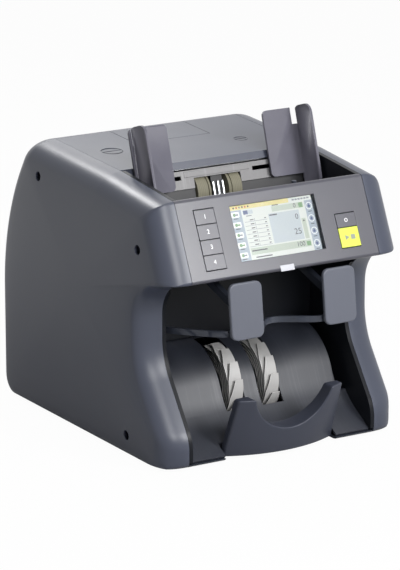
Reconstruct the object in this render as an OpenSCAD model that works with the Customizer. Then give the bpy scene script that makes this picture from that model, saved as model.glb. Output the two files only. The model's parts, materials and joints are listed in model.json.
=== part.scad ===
// Desk-top banknote counter: a moulded casing round two steel chassis plates, with a sloping
// hopper on top, a tilted front panel and an open stacker pocket below it.
// X runs across, the front faces -Y and Z is up. The layout is drawn from the middle of the
// width, and place() sets it on its feet with the origin under the middle of its box.

/* [Casing] */
// Half width from the middle to the seam of a side cover
seam_half = 108.7; // [102:0.1:118]
// Depth of a side cover from its seam to the edge of its flank
cover_depth = 29; // [26:0.1:31]
// Outward bow of a flank at its middle
flank_bow = 3.5; // [2:0.1:5]
// Wall of the moulded covers
wall = 3; // [2.4:0.1:3.4]
// Rounding of a side cover from its rim to its flank
shoulder_r = 22; // [18:0.5:23]
// Gap at a seam between covers
seam_gap = 0.3; // [0.2:0.05:0.5]
// Height of the rubber feet
foot_h = 3; // [2:0.5:6]
// Radius of a rubber foot
foot_r = 9; // [6:0.5:12]

/* [Side outline] */
// Front of the foot of the cheeks
toe_y = -190; // [-196:0.5:-186]
// Height of the toe before it slopes back
toe_z = 28; // [22:0.5:34]
// Front of the cheeks beside the pocket
cheek_y = -139; // [-143:0.5:-134]
// Height at which the cheeks turn upright
cheek_z = 100; // [92:0.5:108]
// Height of the head's underside at the cheeks
head_z = 172; // [170:0.5:174]
// Front of the head's lower edge
nose_y = -196.2; // [-198:0.1:-194]
// Height of the head's lower edge
nose_z = 187.5; // [185:0.1:190]
// Top edge of the front panel, front to back
rim_y = -161.5; // [-164:0.5:-159]
// Top edge of the front panel, height
rim_z = 262.5; // [260:0.5:265]
// Rear end of the hopper rims
lip_y = -62; // [-66:0.5:-60]
// Height of the rear end of the hopper rims
lip_z = 272.5; // [271:0.5:275]
// Rear end of the flat top
top_y = 88; // [86:0.5:92]
// Height of the flat top at its rear end
top_z = 279.5; // [278:0.1:282]
// Rear face
rear_y = 143.5; // [138:0.5:150]
// Height of the bend of the rear face
knee_z = 194; // [186:0.5:200]

/* [Front panel] */
// Distance from the panel's top edge to the display window
display_drop = 12.1; // [10:0.1:14]
// Width of the display window
display_w = 97.8; // [88:0.1:104]
// Height of the display window
display_h = 55.3; // [48:0.1:58]
// Width of every key
key_w = 22.4; // [18:0.1:24]
// Distance from the end of the panel to the middle of a key
key_edge = 29.9; // [26:0.1:33]
// Distance from one function key to the next
key_pitch = 15.1; // [13:0.1:15.4]
// Distance from the panel's top edge to the first function key
key_drop = 10.9; // [9:0.1:12]
// Distance from the panel's top edge to the clear key
clear_drop = 35.5; // [32:0.1:37]
// Height of the clear key
clear_h = 14.3; // [12:0.1:16]
// Height of the start key
start_h = 20.3; // [16:0.1:21]
// Clear space round a key
key_gap = 0.35; // [0.3:0.05:0.5]
// Travel of a key
key_travel = 0.8; // [0.5:0.1:1.2]
// Thickness of the display glass
glass_t = 1.2; // [0.8:0.1:1.6]
// Thickness of the display module
module_t = 3.6; // [3:0.1:4.4]
// Thickness of every circuit board
board_t = 1.6; // [1.2:0.1:2]
// Width of the tab on the panel's lower edge
tab_w = 16; // [10:0.5:20]

/* [Hopper] */
// Lean of the hopper's back plate from upright
hopper_lean = 17.5; // [15:0.5:19]
// Thickness of the sheets that lead the notes
sheet = 2.5; // [2:0.1:2.8]
// Reach of the back plate above the reference line
plate_rise = 12.5; // [11.5:0.1:12.6]
// Reach of the back plate below the reference line
plate_drop = 6; // [5:0.1:7]
// Drop from the reference line to the hopper floor
floor_drop = 22; // [20:0.5:24]
// Length of the hopper floor
floor_l = 72; // [66:0.5:74]
// Width of a guide's back plate
guide_w = 43.5; // [41:0.1:44.5]
// Height of a guide above the reference line
guide_h = 61; // [58:0.1:63]
// Depth of a guide's side plate
guide_d = 31; // [24:0.5:36]
// Thickness of a guide's plates
guide_t = 2.5; // [2:0.1:3]
// Width of the notch beside a guide's bend
notch_w = 8; // [6:0.5:10]
// Depth of the notch beside a guide's bend
notch_h = 17; // [12:0.5:20]
// Gap between the left guide as it stands and the inner wall
left_guide_gap = 8.4; // [8:0.1:12]
// Gap between the right guide as it stands and the inner wall
right_guide_gap = 0.6; // [0.6:0.1:4]
// Radius of the rail that the guides slide on
rail_r = 3; // [2.5:0.1:3.5]
// Inner end of a guide's slot
slot_x = 42; // [38:0.5:46]

/* [Rollers] */
// Radius of every driven shaft
shaft_r = 3; // [2.5:0.1:3.5]
// Radial clearance of a running fit
run_gap = 0.05; // [0.02:0.01:0.09]
// Radius of the feed rollers
feed_r = 20; // [18:0.5:21]
// Inner end of a feed roller
feed_x = 10.5; // [9:0.5:12]
// Width of a feed roller
feed_w = 15.4; // [12:0.1:17]
// Radius of the transport rollers
transport_r = 15; // [13:0.5:16]
// Radius of the pinch rollers
pinch_r = 10; // [8:0.5:11]
// Middle of a transport roller
roller_x = 42.5; // [38:0.5:50]
// Width of a transport roller
roller_w = 15; // [12:0.5:18]
// Transport shaft, front to back
transport_y = -20; // [-22:0.5:-18]
// Transport shaft, height
transport_z = 150; // [146:0.5:154]
// Motor shaft, front to back
motor_y = 40; // [36:0.5:46]
// Motor shaft, height
motor_z = 72; // [68:0.5:78]
// Radius of the motor
motor_r = 21; // [18:0.5:24]
// Length of the motor
motor_l = 52; // [44:0.5:60]
// Width of a drive belt
belt_w = 5; // [4:0.1:5.4]
// Thickness of a drive belt
belt_t = 1.5; // [1:0.1:2]

/* [Stacker] */
// Stacker shaft, front to back
wheel_y = -96; // [-98:0.5:-94]
// Stacker shaft, height
wheel_z = 47; // [46.5:0.5:50]
// Radius of a stacker wheel
wheel_r = 43; // [40:0.1:43.2]
// Width of a stacker wheel
wheel_w = 15; // [12:0.5:17]
// Middle of a stacker wheel
wheel_x = 21; // [18:0.5:26]
// Radius of a wheel's solid hub
hub_r = 25; // [22:0.5:27]
// Number of vanes on a wheel
vanes = 14; // [10:1:16]
// Turn of one vane from root to tip, in degrees
vane_sweep = 150; // [120:5:160]
// Thickness of a vane
vane_t = 1; // [0.8:0.1:1.2]
// Clear space to the left of a wheel in its slot
slot_side = 9; // [2:0.5:10]
// Clear space beyond a wheel's tips at the ends of its slot
tip_gap = 7; // [1:0.5:8]
// Middle of the drum that covers the stacker shaft, front to back
drum_y = -76; // [-78:0.5:-74]
// Middle of the drum, height
drum_z = 34; // [32:0.5:36]
// Radius of the drum
drum_r = 60.5; // [59:0.5:61.5]
// Gap between an end of the drum and the inner wall
drum_gap = 9.4; // [6:0.1:14]
// Slope of the stacker floor in degrees
floor_slope = 31; // [29:0.5:33]
// Half width of the front stopper at its foot
stopper_half = 64; // [56:0.5:70]
// Height of the front stopper's horns
stopper_h = 65.5; // [58:0.5:72]
// Forward lean of the front stopper in degrees
stopper_lean = 20.5; // [18:0.1:22]
// Radius of the hollow in the front stopper
stopper_cut_r = 45; // [40:0.5:47]
// Height of the lowest point of that hollow
stopper_dip = 29.5; // [24:0.5:34]

/* [Paddles] */
// Width of a paddle
paddle_w = 37; // [30:0.5:42]
// Height of a paddle
paddle_h = 56; // [48:0.5:60]
// Thickness of a paddle
paddle_t = 5; // [4:0.1:6]
// Corner radius of a paddle
paddle_r = 7; // [4:0.5:10]
// Middle of a paddle across
paddle_x = 54; // [48:0.5:58]
// Front face of a paddle at its middle
paddle_y = -208; // [-212:0.5:-206]
// Height of a paddle's middle
paddle_z = 157; // [154:0.5:159]
// Lean of a paddle, foot forward, in degrees
paddle_lean = 7; // [4:0.5:10]
// Gate shaft, front to back
gate_y = -130; // [-131:0.5:-126]
// Gate shaft, height
gate_z = 174; // [172:0.5:176]
// Height of the gate's curved rail
gate_rail_h = 6; // [5:0.1:7]

/* [Rear] */
// Half width of the rear door
door_half = 44; // [36:0.5:48]
// Front edge of the rear door on the top
door_y = 22; // [14:0.5:30]
// Lower edge of the rear door
door_z = 64; // [60:0.5:70]
// Gap round the rear door
door_gap = 0.5; // [0.4:0.05:0.8]
// Radius of a door hinge knuckle
knuckle_r = 3.2; // [2.8:0.1:3.6]
// Radius of the door hinge pin
pin_r = 1.5; // [1.2:0.1:1.8]
// Radius of the left adjuster
left_adjuster_r = 10.8; // [8:0.1:12]
// Radius of the right adjuster
right_adjuster_r = 6.7; // [5:0.1:9]

/* [Hidden] */
$fn = 48;

// Shared fits
gap = 0.3;
touch = 0.2;
sink = 0.1;
skim = 0.01;
film = 0.05;
shaft_clear = 1;
far = 400;

// Widths that follow the seams
mid_half = seam_half - seam_gap;
inner_t = 4;
inner_half = mid_half - inner_t;
fill_half = inner_half - touch;
plate_gap = 2.3;
plate_x = seam_half + plate_gap;
plate_t = 2;
left_guide_x = inner_half - left_guide_gap;
right_guide_x = inner_half - right_guide_gap;
drum_half = inner_half - drum_gap;
key_x = mid_half - key_edge;

// Colours as the photo shows them
casing_grey = [0.36, 0.38, 0.42];
panel_grey = [0.52, 0.51, 0.54];
dark_grey = [0.16, 0.18, 0.21];
pale_grey = [0.84, 0.84, 0.85];
plate_grey = [0.62, 0.62, 0.63];
steel = [0.72, 0.73, 0.75];
rubber_beige = [0.56, 0.55, 0.47];
board_green = [0.10, 0.36, 0.22];
key_yellow = [0.84, 0.92, 0.20];
black = [0.08, 0.08, 0.09];
glass_tint = [0.85, 0.9, 0.92];
rocker_red = [0.55, 0.08, 0.08];
motor_grey = [0.3, 0.3, 0.32];

// Outlines with rounded corners: each corner is [y, z, radius, steps], listed clockwise
// as seen from +X. A corner of an outline that is moved inwards also has its softness
function unit(v) = v / norm(v);
function wrap(list, i) = list[(i + len(list)) % len(list)];
function at(corner) = [corner[0], corner[1]];
function inward(a, b) = let (d = unit(b - a)) [d[1], -d[0]];
function turn(a) = ((a + 540) % 360) - 180;
function corner_arc(a, c, b) =
    let (p = at(c), u = unit(at(a) - p), v = unit(at(b) - p), half = acos(u * v) / 2,
        m = p + unit(u + v) * c[2] / sin(half), s = p + u * c[2] / tan(half) - m,
        e = p + v * c[2] / tan(half) - m, a0 = atan2(s[1], s[0]), sweep = turn(atan2(e[1], e[0]) - a0))
    [for (k = [0 : c[3]]) m + c[2] * [cos(a0 + sweep * k / c[3]), sin(a0 + sweep * k / c[3])]];
function outline(corners) =
    [for (i = [0 : len(corners) - 1])
        for (p = corner_arc(wrap(corners, i - 1), corners[i], wrap(corners, i + 1))) p];

// The same outline moved inwards, each edge by its own share of the distance. An outer corner
// keeps at least its softness times the distance as radius, so that the roundings run out softly
function inset_corner(corners, share, d, i) =
    let (a = at(wrap(corners, i - 1)), p = at(corners[i]), b = at(wrap(corners, i + 1)),
        n = inward(a, p), m = inward(p, b), dn = d * wrap(share, i - 1), dm = d * share[i],
        det = n[0] * m[1] - n[1] * m[0],
        q = [dn * m[1] - n[1] * dm, n[0] * dm - m[0] * dn] / det,
        r = corners[i][2] + (det > 0 ? 1 : -1) * (dn + dm) / 2)
    [p[0] + q[0], p[1] + q[1], max(corners[i][4] * d, r), corners[i][3], corners[i][4]];
function inset(corners, share, d) =
    [for (i = [0 : len(corners) - 1]) inset_corner(corners, share, d, i)];

// Side outline of the casing and the share of the rounding that each of its edges takes
soft = 0.64;
crisp = 0.2;
full = 0.8;
side = [[toe_y, 0, 8, 4, soft], [toe_y, toe_z, 36, 5, soft], [cheek_y, cheek_z, 70, 6, soft],
    [cheek_y, head_z, 36, 7, soft], [nose_y, nose_z, 3, 6, crisp], [rim_y, rim_z, 4, 6, full],
    [lip_y, lip_z, 40, 2, soft], [top_y, top_z, 30, 8, soft], [rear_y, knee_z, 250, 9, soft],
    [rear_y, 0, 24, 6, soft]];
even = [for (c = side) 1];
rounding = [1, 0.7, 0.6, 0.25, 1, 1, 1, 0.8, 0.6, 0.1];
flank_middle = [-20, 150];

// Places on the tilted front panel: n runs inwards from its face and t upwards from its top edge
panel_tilt = atan2(rim_y - nose_y, rim_z - nose_z);
panel_l = norm([rim_y - nose_y, rim_z - nose_z]);
module on_panel() {
    translate([0, rim_y, rim_z])
    rotate([-panel_tilt, 0, 0])
    children();
}

// Places in the leaning hopper: n runs backwards from the back plate's face, t runs up along it
// from the reference line
hopper_ref_back = 4;
hopper_ref_drop = 20.5;
hopper_ref_y = lip_y - hopper_ref_back;
hopper_ref_z = lip_z - hopper_ref_drop;
module in_hopper() {
    translate([0, hopper_ref_y, hopper_ref_z])
    rotate([-hopper_lean, 0, 0])
    children();
}
function hopper_y(n, t) = hopper_ref_y + n * cos(hopper_lean) + t * sin(hopper_lean);
function hopper_z(n, t) = hopper_ref_z - n * sin(hopper_lean) + t * cos(hopper_lean);

// Shaft axes as [y, z]
feed_proud = 2;
feed_n = feed_r - feed_proud;
feed_t = -9;
feed_axis = [hopper_y(feed_n, feed_t), hopper_z(feed_n, feed_t)];
transport_axis = [transport_y, transport_z];
pinch_axis = [transport_y + transport_r + pinch_r + gap, transport_z];
wheel_axis = [wheel_y, wheel_z];
drum_axis = [drum_y, drum_z];
motor_axis = [motor_y, motor_z];
gate_axis = [gate_y, gate_z];
shaft_axes = [feed_axis, transport_axis, pinch_axis, wheel_axis];
shaft_over = 2;
shaft_end = plate_x + plate_t + shaft_over;

// Height of the casing's top between the hopper and the rear edge
function top_at(y) = lip_z + (top_z - lip_z) * (y - lip_y) / (top_y - lip_y);

// Overall reach, front and back
hinge_y = rear_y + knuckle_r + gap;
front_reach = paddle_y - paddle_h / 2 * sin(paddle_lean);
rear_reach = hinge_y + knuckle_r;
module place() {
    translate([0, -(front_reach + rear_reach) / 2, foot_h])
    children();
}

// A flat shape of [y, z] points drawn out across the part
module across(x0, x1) {
    translate([x0, 0, 0])
    rotate([90, 0, 90])
    linear_extrude(x1 - x0)
    children();
}
module rod(axis, r, x0, x1) {
    translate([x0, axis[0], axis[1]])
    rotate([0, 90, 0])
    cylinder(r = r, h = x1 - x0);
}
module block(low, high) {
    translate(low)
    cube(high - low);
}
module mirrored() {
    mirror([1, 0, 0])
    children();
}
module both() {
    children();
    mirrored()
    children();
}

// A bent sheet along [y, z] points, with its thickness to the right of the path
function sheet_side(path, d, i) =
    let (last = len(path) - 1, n = inward(path[max(i - 1, 0)], path[i == 0 ? 1 : i]),
        m = inward(path[i == last ? last - 1 : i], path[min(i + 1, last)]))
    path[i] + d * (n + m) / (1 + n * m);
function sheet_points(path, d) =
    concat(path, [for (i = [len(path) - 1 : -1 : 0]) sheet_side(path, d, i)]);

// A rectangle with rounded corners, as points
function round_box(w, h, r, steps) =
    outline([[-w / 2, -h / 2, r, steps], [-w / 2, h / 2, r, steps],
        [w / 2, h / 2, r, steps], [w / 2, -h / 2, r, steps]]);

// Band of wall that the middle covers are cut from
module casing_band() {
    difference() {
        across(-mid_half, mid_half)
        polygon(outline(side));
        across(-far, far)
        polygon(outline(inset(side, even, wall)));
    }
}

// Side covers: rings of the side outline, drawn in along a rounding and then domed
function edge_rings(corners, depth, r, angles) =
    [for (a = angles)
        [for (p = outline(inset(corners, rounding, r * (1 - cos(a))))) [seam_half + depth * sin(a), p[0], p[1]]]];
function dome_rings(rim, bow, shares) =
    [for (s = shares)
        [for (p = rim) [p[0] + bow * (1 - s * s), flank_middle[0] + (p[1] - flank_middle[0]) * s,
            flank_middle[1] + (p[2] - flank_middle[1]) * s]]];
function flank_rings(corners, depth, r, angles, shares) =
    let (edge = edge_rings(corners, depth, r, angles), rim = edge[len(edge) - 1])
    concat(edge, dome_rings(rim, flank_bow, shares));
outer_angles = [0, 22, 42, 60, 76, 90];
outer_shares = [0.75, 0.45];
inner_angles = [0, 42, 90];
inner_shares = [0.6];
outer_rings = flank_rings(side, cover_depth, shoulder_r, outer_angles, outer_shares);
inner_rings = flank_rings(inset(side, even, wall), cover_depth - wall, shoulder_r - wall, inner_angles,
    inner_shares);
ring_n = len(outer_rings[0]);
outer_n = len(outer_rings);
inner_n = len(inner_rings);
outer_tip = ring_n * (outer_n + inner_n);
flank_points = concat([for (r = outer_rings) for (p = r) p], [for (r = inner_rings) for (p = r) p],
    [[seam_half + cover_depth + flank_bow, flank_middle[0], flank_middle[1]],
        [seam_half + cover_depth + flank_bow - wall, flank_middle[0], flank_middle[1]]]);
function ring_faces(first, rings, flip) =
    [for (k = [0 : rings - 2])
        for (i = [0 : ring_n - 1])
            let (j = (i + 1) % ring_n, a = first + k * ring_n + i, b = first + k * ring_n + j, c = b + ring_n,
                d = a + ring_n)
            for (f = flip ? [[a, c, b], [a, d, c]] : [[a, b, c], [a, c, d]]) f];
function tip_faces(first, tip, flip) =
    [for (i = [0 : ring_n - 1])
        let (j = (i + 1) % ring_n)
        flip ? [first + j, first + i, tip] : [first + i, first + j, tip]];
function rim_faces(first) =
    [for (i = [0 : ring_n - 1])
        let (j = (i + 1) % ring_n)
        for (f = [[j, i, first + i], [j, first + i, first + j]]) f];
flank_faces = concat(ring_faces(0, outer_n, false), tip_faces(ring_n * (outer_n - 1), outer_tip, false),
    ring_faces(ring_n * outer_n, inner_n, true),
    tip_faces(ring_n * (outer_n + inner_n - 1), outer_tip + 1, true), rim_faces(ring_n * outer_n));

// Flank screws as [y, z], and their sunk holes
screw_spots = [[55, 247], [-143, 215], [-120, 21]];
screw_hole_r = 5;
screw_head_r = 4;
screw_head_t = 3;
screw_r = 2;
boss_r = 8;
boss_x = plate_x + plate_t + touch;
boss_floor = 4;
boss_proud = 0.3;
boss_end = seam_half + cover_depth + boss_proud;

// Vents round the rear corners
vent_z = [24, 51, 69, 87, 107];
vent_h = 3.5;
vent_in = 12;
vent_out = 18;

module side_cover() {
    difference() {
        union() {
            polyhedron(points = flank_points, faces = flank_faces, convexity = 8);
            for (s = screw_spots)
                rod(s, boss_r, boss_x, boss_end);
        }
        for (s = screw_spots) {
            rod(s, screw_hole_r, boss_x + boss_floor, far);
            rod(s, screw_r + run_gap, boss_x - 1, boss_x + boss_floor + 1);
        }
        for (z = vent_z)
            block([seam_half - 1, rear_y - vent_in, z - vent_h / 2],
                [seam_half + vent_out, rear_y + 1, z + vent_h / 2]);
    }
}
module right_side_cover() {
    color(casing_grey)
    side_cover();
}
module left_side_cover() {
    color(casing_grey)
    mirrored()
    side_cover();
}
module cover_screw(s) {
    rod(s, screw_head_r, boss_x + boss_floor + touch, boss_x + boss_floor + touch + screw_head_t);
    rod(s, screw_r, plate_x + touch, boss_x + boss_floor + 1);
}
module cover_screws() {
    color(steel)
    both()
    for (s = screw_spots)
        cover_screw(s);
}

// Base tray with a bay for the front stopper
tray_rear_z = 30;
bay_gap = 1;
bay_d = 18;
bay_half = stopper_half + bay_gap;
bay_y = toe_y + bay_d;
module base_tray() {
    color(dark_grey)
    difference() {
        intersection() {
            casing_band();
            union() {
                block([-far, -far, -1], [far, far, wall]);
                block([-far, 0, -1], [far, far, tray_rear_z]);
            }
        }
        block([-bay_half, -far, -1], [bay_half, bay_y, wall + 1]);
    }
}
foot_edge = 18.4;
foot_front = 24;
foot_rear = 42;
foot_x = mid_half - foot_edge;
foot_front_y = toe_y + foot_front;
foot_rear_y = rear_y - foot_rear;
module rubber_feet() {
    color(black)
    both()
    for (y = [foot_front_y, foot_rear_y])
        translate([foot_x, y, -foot_h])
        cylinder(r = foot_r, h = foot_h);
}

// Top cover with its front lip and the two adjusters
top_back = 3.5;
top_run = 17;
top_front_y = lip_y + top_back;
top_split_y = top_y + top_run;
top_deep = 60;
lip_drop = 7;
lip_run = 3;
left_adjuster_edge = 28.4;
right_adjuster_edge = 46.4;
left_adjuster_y = 7;
right_adjuster_y = -10;
left_adjuster_at = [left_adjuster_edge - mid_half, left_adjuster_y];
right_adjuster_at = [mid_half - right_adjuster_edge, right_adjuster_y];
adjuster_gap = 0.4;
adjuster_t = 1.8;
adjuster_depth = 2.2;
stem_r = 2.5;
stem_l = 7;
stem_sink = 0.5;
collar_r = 4;
module adjuster_recess(spot, r) {
    translate([spot[0], spot[1], top_at(spot[1]) - adjuster_depth])
    cylinder(r = r + adjuster_gap, h = far);
    translate([spot[0], spot[1], top_at(spot[1]) - stem_l - 1])
    cylinder(r = stem_r + run_gap, h = stem_l + 1);
}
module adjuster(spot, r) {
    top = top_at(spot[1]) - adjuster_depth + gap;
    slot_w = 2;
    slot_d = 0.8;
    translate([spot[0], spot[1], 0]) {
        difference() {
            translate([0, 0, top])
            cylinder(r = r, h = adjuster_t);
            block([-r - 1, -slot_w / 2, top + adjuster_t - slot_d], [r + 1, slot_w / 2, top + adjuster_t + 1]);
        }
        translate([0, 0, top - stem_l])
        cylinder(r = stem_r, h = stem_l + stem_sink);
        translate([0, 0, top - stem_l])
        cylinder(r = collar_r, h = stem_l - wall - gap);
    }
}
module top_cover() {
    lip = [[top_front_y, top_at(top_front_y)], [top_front_y + sheet, top_at(top_front_y)],
        [top_front_y + sheet - lip_run, top_at(top_front_y) - lip_drop],
        [top_front_y - lip_run, top_at(top_front_y) - lip_drop]];
    color(casing_grey)
    difference() {
        union() {
            intersection() {
                casing_band();
                block([-far, top_front_y, lip_z - top_deep], [far, top_split_y, far]);
            }
            across(-fill_half, fill_half)
            polygon(lip);
        }
        block([-door_half - door_gap, door_y - door_gap, lip_z - top_deep], [door_half + door_gap, far, far]);
        adjuster_recess(left_adjuster_at, left_adjuster_r);
        adjuster_recess(right_adjuster_at, right_adjuster_r);
    }
}
module left_adjuster() {
    color(casing_grey)
    adjuster(left_adjuster_at, left_adjuster_r);
}
module right_adjuster() {
    color(casing_grey)
    adjuster(right_adjuster_at, right_adjuster_r);
}

// Front panel with its window and key openings
nose_lip = 14;
rim_w = 4;
panel_split = 10;
nose_lip_y = nose_y + nose_lip;
panel_rear_y = rim_y + rim_w;
stack_h = 4 * key_pitch;
right_stack_h = clear_h + start_h;
glass_rim = 3;
glass_n = wall + film;
module_n = glass_n + glass_t + film;
module panel_cut(x0, x1, t0, t1) {
    on_panel()
    block([x0, -2 * wall, t0], [x1, 2 * wall, t1]);
}
module front_panel() {
    color(panel_grey)
    difference() {
        intersection() {
            casing_band();
            union() {
                block([-far, -far, head_z], [far, nose_lip_y, nose_z + 2 * panel_split]);
                block([-far, -far, nose_z + panel_split], [far, panel_rear_y, far]);
            }
        }
        panel_cut(-display_w / 2, display_w / 2, -display_drop - display_h, -display_drop);
        panel_cut(-key_x - key_w / 2 - key_gap, -key_x + key_w / 2 + key_gap,
            -key_drop - stack_h - key_gap, -key_drop + key_gap);
        panel_cut(key_x - key_w / 2 - key_gap, key_x + key_w / 2 + key_gap,
            -clear_drop - right_stack_h - key_gap, -clear_drop + key_gap);
    }
}
module display_glass() {
    color(glass_tint)
    on_panel()
    block([-display_w / 2 - glass_rim, glass_n, -display_drop - display_h - glass_rim],
        [display_w / 2 + glass_rim, glass_n + glass_t, -display_drop + glass_rim]);
}
module display_module() {
    color(pale_grey)
    on_panel()
    block([-display_w / 2 - glass_rim, module_n, -display_drop - display_h - glass_rim],
        [display_w / 2 + glass_rim, module_n + module_t, -display_drop + glass_rim]);
}
board_n = module_n + module_t + touch;
dome_r = 2.5;
stem_key_r = 2;
key_flange = 1.2;
key_flange_t = 1.4;
key_proud = 0.3;
key_stem_l = 0.9;
key_stem_end = wall + gap + key_flange_t + key_stem_l;
dome_n = key_stem_end + key_travel + gap;
module key(x, t_top, h) {
    on_panel() {
        block([x - key_w / 2, -key_proud, t_top - h + key_gap],
            [x + key_w / 2, wall + gap + sink, t_top - key_gap]);
        block([x - key_w / 2 - key_flange, wall + gap, t_top - h + key_gap],
            [x + key_w / 2 + key_flange, wall + gap + key_flange_t, t_top - key_gap]);
        translate([x, wall + gap, t_top - h / 2])
        rotate([-90, 0, 0])
        cylinder(r = stem_key_r, h = key_stem_end - wall - gap);
    }
}
module key_dome(x, t) {
    translate([x, dome_n, t])
    rotate([-90, 0, 0])
    cylinder(r = dome_r, h = board_n - dome_n + sink);
}
module function_key(i) {
    color(panel_grey)
    key(-key_x, -key_drop - i * key_pitch, key_pitch);
}
module function_key_1() { function_key(0); }
module function_key_2() { function_key(1); }
module function_key_3() { function_key(2); }
module function_key_4() { function_key(3); }
module clear_key() {
    color(panel_grey)
    key(key_x, -clear_drop, clear_h);
}
module start_key() {
    color(key_yellow)
    key(key_x, -clear_drop - clear_h, start_h);
}
board_margin = 3;
module control_board() {
    color(board_green)
    on_panel() {
        block([-key_x - key_w / 2 - board_margin, board_n,
                -key_drop - stack_h + key_pitch / 2 - dome_r - board_margin],
            [key_x + key_w / 2 + board_margin, board_n + board_t, -display_drop + board_margin]);
        for (i = [0 : 3])
            key_dome(-key_x, -key_drop - (i + 0.5) * key_pitch);
        key_dome(key_x, -clear_drop - clear_h / 2);
        key_dome(key_x, -clear_drop - clear_h - start_h / 2);
    }
}
tab_t = 0.6;
tab_h = 6;
tab_under = 0.5;
module panel_tab() {
    color(steel)
    on_panel()
    block([-tab_w / 2, -tab_t, -panel_l - tab_under], [tab_w / 2, 0, -panel_l - tab_under + tab_h]);
}

// Rear panel and the door hinged on it
knuckle_w = 10;
knuckle_x = 26;
knuckle_gap = 0.4;
hinge_z = door_z - door_gap / 2;
hinge_axis = [hinge_y, hinge_z];
leaf_t = 2;
leaf_h = 12;
leaf_sink = 0.5;
leaf_gap = 1;
module knuckle(x0, x1, dir) {
    leaf_low = dir > 0 ? leaf_gap : -leaf_h;
    leaf_high = dir > 0 ? leaf_h : -leaf_gap;
    difference() {
        union() {
            rod(hinge_axis, knuckle_r, x0, x1);
            block([x0, rear_y - leaf_sink, hinge_z + leaf_low], [x1, rear_y + leaf_t, hinge_z + leaf_high]);
        }
        rod(hinge_axis, pin_r + run_gap, x0 - 1, x1 + 1);
    }
}
inlet_edge = 28.4;
inlet_x = mid_half - inlet_edge;
inlet_z = 46;
inlet_w = 27;
inlet_h = 20;
rocker_z = 82;
rocker_w = 18;
rocker_h = 12;
port_edge = 35.4;
port_step = 11;
port_x = mid_half - port_edge;
port_spots = [[port_step - port_x, inlet_z], [-port_step - port_x, inlet_z], [-port_x, rocker_z]];
port_sizes = [[16, 14], [13, 12], [31, 12]];
rocker_gap = 0.5;
rear_deep = 10;
module rear_panel() {
    color(casing_grey)
    difference() {
        union() {
            intersection() {
                casing_band();
                block([-far, top_split_y + seam_gap, tray_rear_z + seam_gap], [far, far, far]);
            }
            both()
            knuckle(knuckle_x - knuckle_w - knuckle_gap, knuckle_x - knuckle_gap, -1);
        }
        block([-door_half - door_gap, -far, door_z - door_gap], [door_half + door_gap, rear_y + skim, far]);
        block([inlet_x - inlet_w / 2, rear_y - rear_deep, inlet_z - inlet_h / 2],
            [inlet_x + inlet_w / 2, far, inlet_z + inlet_h / 2]);
        block([inlet_x - rocker_w / 2 - rocker_gap, rear_y - rear_deep, rocker_z - rocker_h / 2 - rocker_gap],
            [inlet_x + rocker_w / 2 + rocker_gap, far, rocker_z + rocker_h / 2 + rocker_gap]);
        for (i = [0 : 2])
            block([port_spots[i][0] - port_sizes[i][0] / 2, rear_y - rear_deep,
                port_spots[i][1] - port_sizes[i][1] / 2],
                [port_spots[i][0] + port_sizes[i][0] / 2, far, port_spots[i][1] + port_sizes[i][1] / 2]);
        for (z = vent_z)
            both()
            block([mid_half - vent_out, rear_y - rear_deep, z - vent_h / 2], [far, far, z + vent_h / 2]);
    }
}
door_deep = 20;
module rear_door() {
    color(casing_grey) {
        intersection() {
            casing_band();
            union() {
                block([-door_half, door_y, lip_z - door_deep], [door_half, far, far]);
                block([-door_half, top_y, door_z], [door_half, far, far]);
            }
        }
        both()
        knuckle(knuckle_x, knuckle_x + knuckle_w, 1);
    }
}
module door_hinge_pin() {
    color(steel)
    both()
    rod(hinge_axis, pin_r, knuckle_x - knuckle_w - 1, knuckle_x + knuckle_w + 1);
}

// Power inlet with the switch housing, rocker and data ports
inlet_d = 22;
inlet_wall = 1.8;
inlet_flange = 3;
inlet_flange_t = 1.6;
blade_w = 2;
blade_h = 4;
blade_step = 7;
pivot_r = 1.2;
rocker_d = 7;
rocker_proud = 1.5;
rocker_play = 0.6;
pivot_in = 2;
pivot_out = 2.2;
cheek_t = 2;
cheek_gap = 0.7;
cheek_d = 8;
cheek_back = 4;
cheek_over = 2;
inlet_floor = 3;
blade_end = 8;
earth_rise = 2;
blade_fall = 1;
rocker_axis = [rear_y - wall - pivot_in, rocker_z];
module power_inlet() {
    color(black) {
        difference() {
            union() {
                block([inlet_x - inlet_w / 2 + touch, rear_y - inlet_d, inlet_z - inlet_h / 2 + touch],
                    [inlet_x + inlet_w / 2 - touch, rear_y, inlet_z + inlet_h / 2 - touch]);
                block([inlet_x - inlet_w / 2 - inlet_flange, rear_y + film, inlet_z - inlet_h / 2 - inlet_flange],
                    [inlet_x + inlet_w / 2 + inlet_flange, rear_y + inlet_flange_t,
                        inlet_z + inlet_h / 2 + inlet_flange]);
                block([inlet_x - inlet_w / 2 + touch, rear_y - 1, inlet_z - inlet_h / 2 + touch],
                    [inlet_x + inlet_w / 2 - touch, rear_y + 1, inlet_z + inlet_h / 2 - touch]);
            }
            block([inlet_x - inlet_w / 2 + inlet_wall + touch, rear_y - inlet_d + inlet_floor,
                inlet_z - inlet_h / 2 + inlet_wall + touch],
                [inlet_x + inlet_w / 2 - inlet_wall - touch, far, inlet_z + inlet_h / 2 - inlet_wall - touch]);
        }
        for (s = [-1, 0, 1])
            translate([inlet_x + s * blade_step, rear_y, inlet_z + (s == 0 ? earth_rise : -blade_fall)])
            block([-blade_w / 2, inlet_floor - 1 - inlet_d, -blade_h / 2], [blade_w / 2, -blade_end, blade_h / 2]);
        difference() {
            both_cheeks();
            rod(rocker_axis, pivot_r + run_gap, inlet_x - far, inlet_x + far);
        }
    }
}
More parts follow.
